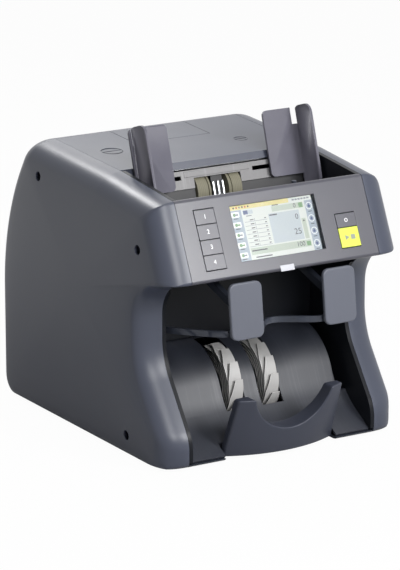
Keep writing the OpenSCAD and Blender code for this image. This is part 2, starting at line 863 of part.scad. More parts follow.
module both_cheeks() {
    reach = rocker_w / 2 + gap + cheek_gap;
    low = rocker_z - rocker_h / 2 - cheek_over;
    high = rocker_z + rocker_h / 2 + cheek_over;
    for (s = [-1, 1])
        block([inlet_x + (s > 0 ? reach : -reach - cheek_t), rear_y - wall - cheek_d, low],
            [inlet_x + (s > 0 ? reach + cheek_t : -reach), rear_y - wall - film, high]);
    block([inlet_x - reach - cheek_t, rear_y - wall - cheek_d - cheek_back, low],
        [inlet_x + reach + cheek_t, rear_y - wall - cheek_d + skim, high]);
}
module power_rocker() {
    color(rocker_red) {
        block([inlet_x - rocker_w / 2, rear_y - rocker_d + rocker_proud, rocker_z - rocker_h / 2 + rocker_play],
            [inlet_x + rocker_w / 2, rear_y + rocker_proud, rocker_z + rocker_h / 2 - rocker_play]);
        rod(rocker_axis, pivot_r, inlet_x - rocker_w / 2 - pivot_out, inlet_x + rocker_w / 2 + pivot_out);
    }
}
port_d = 14;
port_wall = 1.2;
port_proud = 0.8;
port_floor = 2;
module data_port(spot, size) {
    difference() {
        block([spot[0] - size[0] / 2 + touch, rear_y - port_d, spot[1] - size[1] / 2 + touch],
            [spot[0] + size[0] / 2 - touch, rear_y + port_proud, spot[1] + size[1] / 2 - touch]);
        block([spot[0] - size[0] / 2 + port_wall, rear_y - port_d + port_floor, spot[1] - size[1] / 2 + port_wall],
            [spot[0] + size[0] / 2 - port_wall, far, spot[1] + size[1] / 2 - port_wall]);
    }
}
module data_ports() {
    color(steel)
    for (i = [0 : 2])
        data_port(port_spots[i], port_sizes[i]);
}

// Chassis plates stand on the base tray by bent feet
chassis_inset = 7;
chassis_feet = [-60, 70];
chassis_foot_w = 30;
chassis_foot_in = 26;
chassis_foot_lap = 5;
bearing_r = 8;
motor_hole_r = 4;
module chassis_plate() {
    difference() {
        union() {
            across(plate_x, plate_x + plate_t)
            polygon(outline(inset(side, even, chassis_inset)));
            for (y = chassis_feet) {
                block([plate_x, y - chassis_foot_w / 2, wall + touch],
                    [plate_x + plate_t, y + chassis_foot_w / 2, chassis_inset + chassis_foot_lap]);
                block([plate_x - chassis_foot_in, y - chassis_foot_w / 2, wall + touch],
                    [plate_x + plate_t, y + chassis_foot_w / 2, wall + touch + plate_t]);
            }
        }
        for (a = shaft_axes)
            rod(a, bearing_r, plate_x - 1, plate_x + plate_t + 1);
        for (s = screw_spots)
            rod(s, screw_r + run_gap, plate_x - 1, plate_x + plate_t + 1);
        rod(motor_axis, motor_hole_r, plate_x - 1, plate_x + plate_t + 1);
    }
}
module right_chassis_plate() {
    color(steel)
    chassis_plate();
}
module left_chassis_plate() {
    color(steel)
    mirrored()
    chassis_plate();
}
bearing_w = 4;
module shaft_bearings() {
    color(steel)
    both()
    for (a = shaft_axes)
        difference() {
            rod(a, bearing_r - run_gap, plate_x - 1, plate_x - 1 + bearing_w);
            rod(a, shaft_r + run_gap, plate_x - 2, plate_x + bearing_w);
        }
}
stay_spots = [[0, 222], [100, 112], [56, 18]];
stay_r = 4;
module stay_bars() {
    color(steel)
    for (s = stay_spots)
        rod(s, stay_r, -plate_x, plate_x);
}

// Inner walls: flush with the casing round the pocket and the hopper, drawn in elsewhere
inner_inset = 6;
inner_rear_y = -30;
head_gap = 2;
rim_gap = 0.5;
lip_gap = 0.3;
hopper_deep = 30;
module inner_wall() {
    difference() {
        across(inner_half, mid_half)
        union() {
            intersection() {
                polygon(outline(inset(side, even, inner_inset)));
                translate([-far, -far])
                square([far + inner_rear_y, 2 * far]);
            }
            intersection() {
                polygon(outline(side));
                translate([-far, inner_inset])
                square([far + wheel_y, head_z - head_gap - inner_inset]);
            }
            intersection() {
                polygon(outline(side));
                translate([panel_rear_y + rim_gap, hopper_ref_z - hopper_deep])
                square([top_front_y - lip_run - lip_gap - rim_gap - panel_rear_y, far]);
            }
        }
        for (a = [feed_axis, wheel_axis])
            rod(a, shaft_r + shaft_clear, inner_half - 1, mid_half + 1);
    }
}
module right_inner_wall() {
    color(dark_grey)
    inner_wall();
}
module left_inner_wall() {
    color(dark_grey)
    mirrored()
    inner_wall();
}

// Hopper floor, back plate, throat plate and separator
floor_rear_n = -6;
peg_x = 34;
peg_r = 2.5;
peg_proud = 1.6;
peg_back = 4;
peg_l = 6;
floor_front_gap = 1;
floor_front_drop = 3.5;
notch_gap = 1.3;
roller_notch = feed_x + feed_w + notch_gap;
module hopper_floor() {
    front_n = floor_rear_n - floor_l;
    path = [[panel_rear_y + floor_front_gap, rim_z - floor_front_drop],
        [hopper_y(front_n, -floor_drop), hopper_z(front_n, -floor_drop)],
        [hopper_y(floor_rear_n, -floor_drop), hopper_z(floor_rear_n, -floor_drop)]];
    color(dark_grey) {
        across(-fill_half, fill_half)
        polygon(sheet_points(path, sheet));
        translate([peg_x, panel_rear_y + peg_back, rim_z - peg_l])
        cylinder(r = peg_r, h = peg_l + peg_proud);
    }
}
slot_t = 5.6;
slot_h = 4;
slot_edge = 4;
slot_end = fill_half - slot_edge;
notch_top = 4.2;
step_w = 38;
step_t = 1.5;
step_proud = 0.5;
module hopper_back_plate() {
    color(plate_grey)
    in_hopper()
    difference() {
        union() {
            block([-fill_half, 0, -plate_drop], [fill_half, sheet, plate_rise]);
            block([-step_w, -step_proud, notch_top + step_t], [step_w, sink, plate_rise - step_t]);
        }
        block([-roller_notch, -1, -plate_drop - 1], [roller_notch, sheet + 1, notch_top]);
        both()
        block([slot_x, -1, slot_t - slot_h / 2], [slot_end, sheet + 1, slot_t + slot_h / 2]);
    }
}
throat_n = 1;
throat_gap = 2;
throat_bottom = floor_drop - throat_gap;
module throat_plate() {
    color(black)
    in_hopper()
    difference() {
        block([-fill_half, throat_n, -throat_bottom], [fill_half, throat_n + sheet, -plate_drop - touch]);
        block([-roller_notch, -far, -far], [roller_notch, far, far]);
    }
}
separator_half = 6.5;
blade_t = 1.2;
blade_n = 3;
bracket_rise = 6;
prong_in = 1;
prong_half = 0.8;
prong_n = 0.5;
prong_low = 2;
prong_high = 4;
module separator_bracket() {
    color(steel)
    in_hopper() {
        block([-separator_half, blade_n, -throat_bottom],
            [separator_half, blade_n + blade_t, notch_top + bracket_rise]);
        for (x = [-separator_half + prong_in, 0, separator_half - prong_in])
            block([x - prong_half, prong_n, -throat_bottom + prong_low],
                [x + prong_half, blade_n + sink, -plate_drop + prong_high]);
        block([-separator_half, sheet + film, notch_top + touch],
            [separator_half, blade_n + sink, notch_top + bracket_rise]);
    }
}

// Note guides: a back plate and a side plate joined at a bend, on a carriage behind the back plate
rail_n = 9;
rail_t = 15;
guide_gap_n = 1.1;
guide_n = -feed_proud - guide_gap_n;
guide_low = 6.5;
guide_floor_gap = 0.8;
guide_side_low = floor_drop - guide_floor_gap;
guide_side_rise = 1;
guide_side_top = guide_h + guide_side_rise;
guide_corner = 5;
bend_w = 4;
guide_side_corner = 10;
carriage_l = 24;
carriage_in = 6;
arm_l = 13;
carriage_low = 3.2;
carriage_top = 19;
carriage_front = 5;
carriage_rear = 14;
arm_t = 3;
module upright_plate(w, low, high, r) {
    rotate([90, 0, 0])
    linear_extrude(guide_t)
    translate([w / 2, (low + high) / 2])
    polygon(round_box(w, high - low, r, 5));
}
module guide(x_out) {
    in_hopper()
    difference() {
        union() {
            translate([x_out - guide_w, guide_n, 0])
            upright_plate(guide_w, -guide_low, guide_h, guide_corner);
            translate([x_out - guide_t, guide_n, 0])
            rotate([0, 0, -90])
            upright_plate(guide_d, -guide_side_low, guide_side_top, guide_side_corner);
            block([x_out - guide_t - bend_w, guide_n - guide_t, -guide_low], [x_out, guide_n, guide_h - notch_h]);
            block([x_out - carriage_in - arm_l, guide_n - 1, slot_t - arm_t / 2],
                [x_out - carriage_in, carriage_front + 1, slot_t + arm_t / 2]);
            block([x_out - carriage_in - carriage_l, carriage_front, carriage_low],
                [x_out - carriage_in, carriage_rear, carriage_top]);
        }
        translate([0, rail_n, rail_t])
        rotate([0, 90, 0])
        cylinder(r = rail_r + run_gap, h = far);
        block([x_out - guide_t - notch_w, guide_n - guide_t - 1, guide_h - notch_h],
            [x_out - guide_t, guide_n + 1, far]);
    }
}
module right_guide() {
    color(panel_grey)
    guide(right_guide_x);
}
module left_guide() {
    color(panel_grey)
    mirrored()
    guide(left_guide_x);
}
module guide_rail() {
    color(steel)
    rod([hopper_y(rail_n, rail_t), hopper_z(rail_n, rail_t)], rail_r, -inner_half, inner_half);
}

// Belts and pulleys
pulley_w = belt_w + 1;
pulley_gap = 0.6;
belt_gap = 0.5;
belt_steps = 24;
right_belt_x = shaft_end + pulley_gap;
outer_belt_x = right_belt_x + pulley_w + belt_gap;
motor_pulley_r = 8;
transport_pulley_r = 14;
link_pulley_r = 10;
stacker_pulley_r = 14;
feed_pulley_r = 12;
function belt_points(a, ra, b, rb, steps) =
    let (d = b - a, base = atan2(d[1], d[0]), open = acos((ra - rb) / norm(d)))
    concat([for (k = [0 : steps]) let (t = base + open + (360 - 2 * open) * k / steps) a + ra * [cos(t), sin(t)]],
        [for (k = [0 : steps]) let (t = base - open + 2 * open * k / steps) b + rb * [cos(t), sin(t)]]);
module belt(a, ra, b, rb, x) {
    difference() {
        across(x, x + belt_w)
        polygon(belt_points(a, ra + gap + belt_t, b, rb + gap + belt_t, belt_steps));
        across(x - 1, x + belt_w + 1)
        polygon(belt_points(a, ra + gap, b, rb + gap, belt_steps));
    }
}
module drive_belts() {
    color(black) {
        belt(motor_axis, motor_pulley_r, transport_axis, transport_pulley_r, right_belt_x + belt_gap);
        belt(transport_axis, link_pulley_r, wheel_axis, stacker_pulley_r, outer_belt_x + belt_gap);
        mirrored()
        belt(transport_axis, link_pulley_r, feed_axis, feed_pulley_r, right_belt_x + belt_gap);
    }
}
module transport_shaft() {
    color(steel) {
        rod(transport_axis, shaft_r, -right_belt_x - pulley_w, outer_belt_x + pulley_w);
        rod(transport_axis, transport_pulley_r, right_belt_x, right_belt_x + pulley_w);
        rod(transport_axis, link_pulley_r, outer_belt_x, outer_belt_x + pulley_w);
        rod(transport_axis, link_pulley_r, -right_belt_x - pulley_w, -right_belt_x);
    }
}
module sleeve(axis, r, x0, x1) {
    difference() {
        rod(axis, r, x0, x1);
        rod(axis, shaft_r + run_gap, x0 - 1, x1 + 1);
    }
}
module transport_rollers() {
    color(rubber_beige)
    both()
    sleeve(transport_axis, transport_r, roller_x - roller_w / 2, roller_x + roller_w / 2);
}
module pinch_rollers() {
    color(black) {
        rod(pinch_axis, shaft_r, -shaft_end, shaft_end);
        both()
        rod(pinch_axis, pinch_r, roller_x - roller_w / 2, roller_x + roller_w / 2);
    }
}
module feed_shaft() {
    color(steel) {
        rod(feed_axis, shaft_r, -right_belt_x - pulley_w, shaft_end);
        rod(feed_axis, feed_pulley_r, -right_belt_x - pulley_w, -right_belt_x);
    }
}
groove_w = 2;
groove_d = 1.2;
module feed_rollers() {
    color(rubber_beige)
    both()
    difference() {
        sleeve(feed_axis, feed_r, feed_x, feed_x + feed_w);
        difference() {
            rod(feed_axis, feed_r + 1, feed_x + groove_w, feed_x + 2 * groove_w);
            rod(feed_axis, feed_r - groove_d, feed_x, feed_x + feed_w);
        }
    }
}
module stacker_shaft() {
    color(steel) {
        rod(wheel_axis, shaft_r, -shaft_end, outer_belt_x + pulley_w);
        rod(wheel_axis, stacker_pulley_r, outer_belt_x, outer_belt_x + pulley_w);
    }
}
motor_shaft_r = 2.5;
motor_bore_l = 12;
motor_step = 6;
module main_motor() {
    color(motor_grey)
    difference() {
        union() {
            rod(motor_axis, motor_r, plate_x - touch - motor_l, plate_x - touch);
            rod(motor_axis, motor_r - motor_step, plate_x - touch - motor_l - motor_step,
                plate_x - touch - motor_l + 1);
        }
        rod(motor_axis, motor_shaft_r + run_gap, plate_x - motor_bore_l, plate_x + 1);
    }
}
module motor_pulley() {
    color(steel) {
        rod(motor_axis, motor_shaft_r, plate_x - motor_bore_l + 1, right_belt_x + 1);
        rod(motor_axis, motor_pulley_r, right_belt_x, right_belt_x + pulley_w);
    }
}

// Curved note guides round the transport rollers, with the image sensors behind them
guide_back = 25;
guide_centre = [transport_y - guide_back, transport_z];
note_t = 2;
window_gap = 1.5;
window_h = 36;
path_r = 38;
path_gap = 4;
guide_open = 75;
module note_arc(r_in, r_out) {
    difference() {
        rod(guide_centre, r_out, -fill_half, fill_half);
        rod(guide_centre, r_in, -far, far);
        block([-far, -far, -far], [far, guide_centre[0] + r_in * cos(guide_open), far]);
        both()
        block([roller_x - roller_w / 2 - window_gap, -far, transport_z - window_h / 2],
            [roller_x + roller_w / 2 + window_gap, far, transport_z + window_h / 2]);
    }
}
module note_guides() {
    color(dark_grey) {
        note_arc(path_r - note_t, path_r);
        note_arc(path_r + path_gap, path_r + path_gap + note_t);
    }
}
sensor_turn = -62;
sensor_gap = 0.9;
sensor_end = 12.2;
sensor_half = fill_half - sensor_end;
sensor_d = 12;
sensor_h = 14;
module image_sensors() {
    color(black)
    translate([0, guide_centre[0], guide_centre[1]])
    rotate([sensor_turn, 0, 0]) {
        block([-sensor_half, path_r + path_gap + note_t + touch, -sensor_h / 2],
            [sensor_half, path_r + path_gap + note_t + sensor_d, sensor_h / 2]);
        block([-sensor_half, path_r - note_t - sensor_d, -sensor_h / 2],
            [sensor_half, path_r - note_t - sensor_gap, sensor_h / 2]);
    }
}
ceiling_y = -158;
ceiling_z = 207;
throat_rise = 4.5;
back_lift = 12.5;
back_foot = 22;
back_head = 18;
ceiling_fall = 11;
module pocket_back_wall() {
    throat_z = drum_z + drum_r + throat_rise;
    path = [[guide_centre[0] + 1, throat_z + back_lift], [wheel_y + back_foot, throat_z],
        [wheel_y + back_head, ceiling_z - ceiling_fall], [ceiling_y, ceiling_z]];
    color(dark_grey)
    across(-fill_half, fill_half)
    polygon(sheet_points(path, -sheet));
}

// Stacker cover: front floor, drum and a ramp behind it, slotted for the wheels
floor_lip = 3;
lip_y_floor = toe_y + floor_lip;
wheel_gap = 1.2;
drum_last = 80;
drum_steps = 16;
fillet_r = 70;
fillet_steps = 8;
ramp = [35, 6.5];
side_floor_z = 36;
cap_drop = 12;
module stacker_cover() {
    lip = [lip_y_floor, wall + touch + sheet];
    up = [-sin(floor_slope), cos(floor_slope)];
    along = [cos(floor_slope), sin(floor_slope)];
    from_lip = drum_axis - lip;
    off = from_lip * up - fillet_r;
    run = from_lip * along - sqrt(pow(drum_r + fillet_r, 2) - off * off);
    bend = lip + run * along + fillet_r * up;
    drum_first = 180 + atan2(drum_axis[1] - bend[1], drum_axis[0] - bend[0]);
    fillet = [for (k = [0 : fillet_steps - 1])
        let (a = floor_slope - 90 + (drum_first - 180 - floor_slope + 90) * k / fillet_steps)
        bend + fillet_r * [cos(a), sin(a)]];
    drum = [for (k = [0 : drum_steps])
        let (a = drum_first + (drum_last - drum_first) * k / drum_steps) drum_axis + drum_r * [cos(a), sin(a)]];
    front = concat([lip], fillet, drum);
    path = concat(front, [drum[drum_steps] + ramp]);
    color(dark_grey)
    difference() {
        union() {
            across(-fill_half, fill_half)
            polygon(sheet_points(path, sheet));
            both()
            across(drum_half - sheet, drum_half)
            intersection() {
                polygon(concat(front, [[drum[drum_steps][0], lip[1]]]));
                translate([-far, side_floor_z - cap_drop])
                square(2 * far);
            }
        }
        for (x = [-wheel_x, wheel_x])
            rod(wheel_axis, wheel_r + tip_gap, x - wheel_w / 2 - slot_side, x + wheel_w / 2 + wheel_gap);
        both() {
            rod(wheel_axis, shaft_r + shaft_clear, drum_half - sheet - 1, drum_half + 1);
            block([drum_half, -far, side_floor_z], [far, far, far]);
        }
        block([-bay_half, -far, -1], [bay_half, bay_y, far]);
    }
}
vane_steps = 18;
vane_sink = 0.8;
vane_root = hub_r - vane_sink;
function vane_r(s) = vane_root + (wheel_r - vane_root) * s;
function vane_edge(shift) =
    [for (k = [0 : vane_steps])
        let (s = k / vane_steps, r = vane_r(s) - shift) r * [cos(-vane_sweep * s), sin(-vane_sweep * s)]];
module stacker_wheel(x) {
    outer = vane_edge(0);
    inner = vane_edge(vane_t);
    blade = concat(outer, [for (k = [vane_steps : -1 : 0]) inner[k]]);
    color(pale_grey)
    translate([x - wheel_w / 2, wheel_y, wheel_z])
    rotate([90, 0, 90])
    linear_extrude(wheel_w)
    difference() {
        union() {
            circle(r = hub_r);
            for (i = [0 : vanes - 1])
                rotate(i * 360 / vanes)
                polygon(blade);
        }
        circle(r = shaft_r + run_gap);
    }
}
module left_stacker_wheel() { stacker_wheel(-wheel_x); }
module right_stacker_wheel() { stacker_wheel(wheel_x); }

// Front stopper: a bowed block that leans forward, hollowed between two horns
stopper_bow = 15;
stopper_out = 4;
stopper_seat = 0.4;
horn_taper = 3.5;
stopper_front = toe_y - stopper_out;
stopper_rear = bay_y - stopper_seat;
horn_half = stopper_half - horn_taper;
stopper_low = 2;
stopper_rear_lean = 20;
module front_stopper() {
    bow_r = (stopper_half * stopper_half + stopper_bow * stopper_bow) / (2 * stopper_bow);
    face = [[-stopper_half, stopper_low], [-horn_half, stopper_h], [horn_half, stopper_h],
        [stopper_half, stopper_low]];
    color(casing_grey)
    difference() {
        intersection() {
            rotate([90, 0, 0])
            translate([0, 0, -far])
            linear_extrude(2 * far)
            polygon(face);
            translate([0, stopper_front, 0])
            rotate([stopper_lean, 0, 0])
            translate([0, bow_r, -stopper_h])
            cylinder(r = bow_r, h = 3 * stopper_h, $fn = 96);
            translate([0, stopper_rear, stopper_low])
            rotate([stopper_rear_lean, 0, 0])
            block([-far, -far, -stopper_h], [far, 0, 2 * stopper_h]);
        }
        translate([0, 0, stopper_dip + stopper_cut_r])
        rotate([90, 0, 0])
        cylinder(r = stopper_cut_r, h = 2 * far, center = true, $fn = 96);
    }
}

// Gate: two paddles on a curved rail, hung from the gate shaft by two arms
rail_front = 5;
rail_back = 43;
rail_end = 88;
rail_t_gate = 4;
rail_drop = 22;
arm_w = 8;
arm_half = 3;
arm_drop = 5;
arm_foot_t = 3;
hub_gate_r = 6.5;
gate_edge = 3;
flat_edge = 3;
rail_curl = 1.5;
gate_half = fill_half - gate_edge;
module on_paddle() {
    translate([0, paddle_y, paddle_z])
    rotate([-paddle_lean, 0, 0])
    children();
}
function wave(s) = (1 - cos(180 * s)) / 2;
flat_in = paddle_x - paddle_w / 2 + flat_edge;
flat_out = paddle_x + paddle_w / 2 - flat_edge;
function rail_at(x) =
    let (a = abs(x))
    a < flat_in ? rail_front + paddle_t + (rail_back - rail_front - paddle_t) * wave(1 - a / flat_in) :
    a < flat_out ? rail_front + paddle_t :
    rail_front + paddle_t
        + (rail_end - rail_front - paddle_t) * pow((a - flat_out) / (gate_half - flat_out), rail_curl);
rail_steps = 60;
rail_line = [for (k = [0 : rail_steps]) let (x = -gate_half + 2 * gate_half * k / rail_steps) [x, rail_at(x)]];
module gate_frame() {
    foot = [paddle_y + paddle_t + touch + arm_foot_t - 1, paddle_z - arm_drop];
    d = unit(gate_axis - foot);
    rise = arm_w / 2 * [-d[1], d[0]];
    color(dark_grey) {
        on_paddle() {
            translate([0, 0, -rail_drop - gate_rail_h / 2])
            linear_extrude(gate_rail_h)
            polygon(sheet_points(rail_line, -rail_t_gate));
            both() {
                block([flat_in, paddle_t + touch, -rail_drop - gate_rail_h / 2],
                    [flat_out, rail_front + paddle_t + 1, -rail_drop + gate_rail_h / 2]);
                block([paddle_x - arm_half, paddle_t + touch, -rail_drop],
                    [paddle_x + arm_half, paddle_t + touch + arm_foot_t, 0]);
            }
        }
        both()
        difference() {
            union() {
                across(paddle_x - arm_half, paddle_x + arm_half)
                polygon([foot - rise, foot + rise, gate_axis + rise, gate_axis - rise]);
                rod(gate_axis, hub_gate_r, paddle_x - arm_half, paddle_x + arm_half);
            }
            rod(gate_axis, shaft_r + run_gap, 0, far);
        }
    }
}
module gate_shaft() {
    color(steel)
    rod(gate_axis, shaft_r, -inner_half, inner_half);
}
module paddle(x) {
    color(casing_grey)
    on_paddle()
    translate([x, paddle_t, 0])
    rotate([90, 0, 0])
    linear_extrude(paddle_t)
    polygon(round_box(paddle_w, paddle_h, paddle_r, 8));
}
module left_paddle() { paddle(-paddle_x); }
module right_paddle() { paddle(paddle_x); }

// Main board on the left chassis plate, power supply on the base tray
main_board_gap = 3.7;
main_board_w = 72;
main_board_z = 44;
main_board_h = 152;
main_board_low = [pinch_axis[0] + shaft_r + main_board_gap, main_board_z];
main_board_high = main_board_low + [main_board_w, main_board_h];
standoff = 5;
standoff_r = 3;
standoff_in = 5;
// Each chip: place from the board's low corner, side, height
chip_sizes = [[17, 16, 26, 4], [38, 76, 20, 3], [20, 106, 14, 6], [46, 124, 12, 9]];
module main_board() {
    x0 = -plate_x + standoff;
    color(board_green) {
        block([x0, main_board_low[0], main_board_low[1]], [x0 + board_t, main_board_high[0], main_board_high[1]]);
        for (y = [main_board_low[0] + standoff_in, main_board_high[0] - standoff_in])
            for (z = [main_board_low[1] + standoff_in, main_board_high[1] - standoff_in])
                rod([y, z], standoff_r, -plate_x, x0 + sink);
        for (c = chip_sizes) {
            y = main_board_low[0] + c[0];
            z = main_board_low[1] + c[1];
            block([x0 + board_t - sink, y - c[2] / 2, z - c[2] / 2],
                [x0 + board_t + c[3], y + c[2] / 2, z + c[2] / 2]);
        }
    }
}
supply_low = [-40, 68];
supply_high = [60, 112];
supply_h = 34;
module power_supply() {
    color(plate_grey)
    block([supply_low[0], supply_low[1], wall], [supply_high[0], supply_high[1], wall + supply_h]);
}

place() base_tray();
place() left_side_cover();
place() right_side_cover();
place() top_cover();
place() front_panel();
place() rear_panel();
place() rear_door();
place() door_hinge_pin();
place() left_chassis_plate();
place() right_chassis_plate();
place() left_inner_wall();
place() right_inner_wall();
place() hopper_floor();
place() hopper_back_plate();
place() throat_plate();
place() separator_bracket();
place() guide_rail();
place() left_guide();
place() right_guide();
place() feed_shaft();
place() feed_rollers();
place() transport_shaft();
place() transport_rollers();
place() pinch_rollers();
place() note_guides();
place() image_sensors();
place() pocket_back_wall();
place() stacker_cover();
place() stacker_shaft();
place() left_stacker_wheel();
place() right_stacker_wheel();
place() front_stopper();
place() gate_shaft();
place() gate_frame();
place() left_paddle();
place() right_paddle();
place() display_glass();
place() display_module();
place() control_board();
place() panel_tab();
place() function_key_1();
place() function_key_2();
place() function_key_3();
place() function_key_4();
place() clear_key();
place() start_key();
place() left_adjuster();
place() right_adjuster();
place() main_motor();
place() motor_pulley();
place() drive_belts();
place() shaft_bearings();
place() stay_bars();
place() main_board();
place() power_supply();
place() power_inlet();
place() power_rocker();
place() data_ports();
place() rubber_feet();
place() cover_screws();
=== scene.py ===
"""Looks of the banknote counter, laid out as a Blender add-on and run as a script.

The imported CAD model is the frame. Operators dress its nodes, add the pieces that carry
the looks, and set up a plain stage with a camera at the photograph's viewing angle.
"""

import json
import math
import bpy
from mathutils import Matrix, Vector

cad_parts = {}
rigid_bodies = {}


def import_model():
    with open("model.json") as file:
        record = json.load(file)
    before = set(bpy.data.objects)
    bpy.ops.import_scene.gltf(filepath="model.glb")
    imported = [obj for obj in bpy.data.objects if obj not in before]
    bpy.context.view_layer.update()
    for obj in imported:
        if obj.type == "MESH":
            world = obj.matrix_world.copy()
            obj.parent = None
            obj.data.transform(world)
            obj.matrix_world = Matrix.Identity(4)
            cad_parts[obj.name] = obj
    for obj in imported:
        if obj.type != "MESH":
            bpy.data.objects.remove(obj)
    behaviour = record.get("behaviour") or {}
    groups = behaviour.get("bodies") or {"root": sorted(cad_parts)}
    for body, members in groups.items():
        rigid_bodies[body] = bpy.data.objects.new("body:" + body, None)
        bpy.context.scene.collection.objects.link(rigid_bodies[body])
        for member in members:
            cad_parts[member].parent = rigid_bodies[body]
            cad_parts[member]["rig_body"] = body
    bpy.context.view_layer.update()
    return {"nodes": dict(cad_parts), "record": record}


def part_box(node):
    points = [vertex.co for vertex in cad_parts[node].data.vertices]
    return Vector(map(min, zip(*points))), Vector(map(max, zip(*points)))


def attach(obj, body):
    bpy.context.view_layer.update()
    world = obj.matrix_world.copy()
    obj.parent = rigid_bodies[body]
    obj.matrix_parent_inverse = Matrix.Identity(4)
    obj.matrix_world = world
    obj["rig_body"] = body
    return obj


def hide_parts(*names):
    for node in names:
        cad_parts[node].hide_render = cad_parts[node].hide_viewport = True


bl_info = {
    "name": "Banknote Counter Looks",
    "version": (1, 0, 0),
    "blender": (4, 5, 0),
    "location": "View3D > Sidebar > Counter",
    "description": "Casing, hopper, screen, keys, stacker and stage of a banknote counter",
    "category": "Object",
}

import bmesh
import bpy
from bpy.props import FloatProperty, FloatVectorProperty, IntProperty, PointerProperty
from mathutils import Matrix, Vector

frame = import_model()
NODES = frame["nodes"]
SLOT_OF = {part["node"]: part["material_slot"] for part in frame["record"]["subparts"]}
MM = 0.001

# Casing's side outline in millimetres: y, z, corner radius, steps of the arc, softness of the corner
SIDE = [
    (-190.0, 0.0, 8.0, 6, 0.64), (-190.0, 28.0, 36.0, 10, 0.64), (-139.0, 100.0, 70.0, 16, 0.64),
    (-139.0, 172.0, 36.0, 14, 0.64), (-196.2, 187.5, 3.0, 10, 0.2), (-161.5, 262.5, 4.0, 10, 0.8),
    (-62.0, 272.5, 40.0, 4, 0.64), (88.0, 279.5, 30.0, 12, 0.64), (143.5, 194.0, 250.0, 16, 0.64),
    (143.5, 0.0, 24.0, 8, 0.64),
]
NOSE, RIM = SIDE[4], SIDE[5]
REAR_Y = SIDE[-1][0]
RUN_STEP = 14.0

# Side covers in millimetres; the shares say how much of the shoulder each edge of the outline takes
EDGE_SHARE = [1, 0.7, 0.6, 0.25, 1, 1, 1, 0.8, 0.6, 0.1]
FLANK_MIDDLE = (-20.0, 150.0)
FLANK_SHARES = (0.97, 0.92, 0.85, 0.76, 0.64, 0.5, 0.35, 0.18)
FLANK_BLURS = 60
SEAM_HALF = 108.7
WALL = 3.0
SCREW_SPOTS = [(55.0, 247.0), (-143.0, 215.0), (-120.0, 21.0)]
WELL_HOLE = 5.0
WELL_OUTSIDE = 8.0
WELL_FLOOR = 5.0
DRILL_MIDDLE = 40.0
DRILL_LENGTH = 60.0
VENT_HEIGHTS = [24.0, 51.0, 69.0, 87.0, 107.0]
VENT_HALF = 1.75
VENT_LENGTH = 18.0
VENT_DEPTH = 12.0
CUT_SPARE = 1.0

# Front panel and hopper
PANEL_TILT = math.atan2(RIM[0] - NOSE[0], RIM[1] - NOSE[1])
PANEL_UP = Vector((0.0, math.sin(PANEL_TILT), math.cos(PANEL_TILT)))
PANEL_OUT = Vector((0.0, -math.cos(PANEL_TILT), math.sin(PANEL_TILT)))
HOPPER_LEAN = math.radians(17.5)
HOPPER_BACK = Vector((0.0, math.cos(HOPPER_LEAN), -math.sin(HOPPER_LEAN)))
HOPPER_UP = Vector((0.0, math.sin(HOPPER_LEAN), math.cos(HOPPER_LEAN)))
GUIDE_WALL = 0.004
SEPARATOR_FACE = 0.002


# Where the outline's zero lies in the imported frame, read from a side cover
COVER_LOW, COVER_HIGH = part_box("left_side_cover")
OFFSET = Vector((0.0, COVER_HIGH.y - REAR_Y * MM, COVER_LOW.z))


def tint(red, green, blue):
    """A display colour from 0 to 255 as the linear colour that shaders take."""
    shares = [c / 255.0 for c in (red, green, blue)]
    return tuple(s / 12.92 if s <= 0.04045 else ((s + 0.055) / 1.055) ** 2.4 for s in shares)


# Settings a user would change


def colour(name, description, default):
    return FloatVectorProperty(name=name, description=description, subtype="COLOR", size=3, min=0.0, max=1.0,
                               default=default)


def number(**fixed):
    """Makes a function that declares one kind of number."""
    return lambda name, description, default: FloatProperty(
        name=name, description=description, min=0.0, default=default, **fixed)


length = number(unit="LENGTH", precision=4)
power = number(unit="POWER")
fraction = number(max=1.0)


class CounterSizes(bpy.types.PropertyGroup):
    """Sizes of the roundings and of the details that the looks add."""

    cover_edge: length("Cover edge", "Rounding of the edges of the casing covers", 0.0005)
    guide_edge: length("Guide edge", "Rounding of the edges of the note guides", 0.0007)
    notch_corner: length("Notch corner", "Rounding of a note guide's face beside its notch", 0.0075)
    stopper_edge: length("Stopper edge", "Rounding of the edges of the front stopper", 0.0022)
    floor_edge: length("Floor edge", "Rounding of the edges of the drum cover", 0.0011)
    paddle_edge: length("Paddle edge", "Rounding of the edges of the paddles", 0.0016)
    small_edge: length("Small edge", "Rounding of keys, ports and plates", 0.0003)
    shoulder: length("Shoulder", "Rounding between the flank and the casing's outline", 0.022)
    bow: length("Flank bow", "How far the flank swells between its roundings", 0.0035)
    depth: length("Cover depth", "How far a side cover stands out from the seam", 0.029)
    rings: IntProperty(name="Rings", description="Rings along the rounding of a side cover", min=4, max=40,
                       default=12)


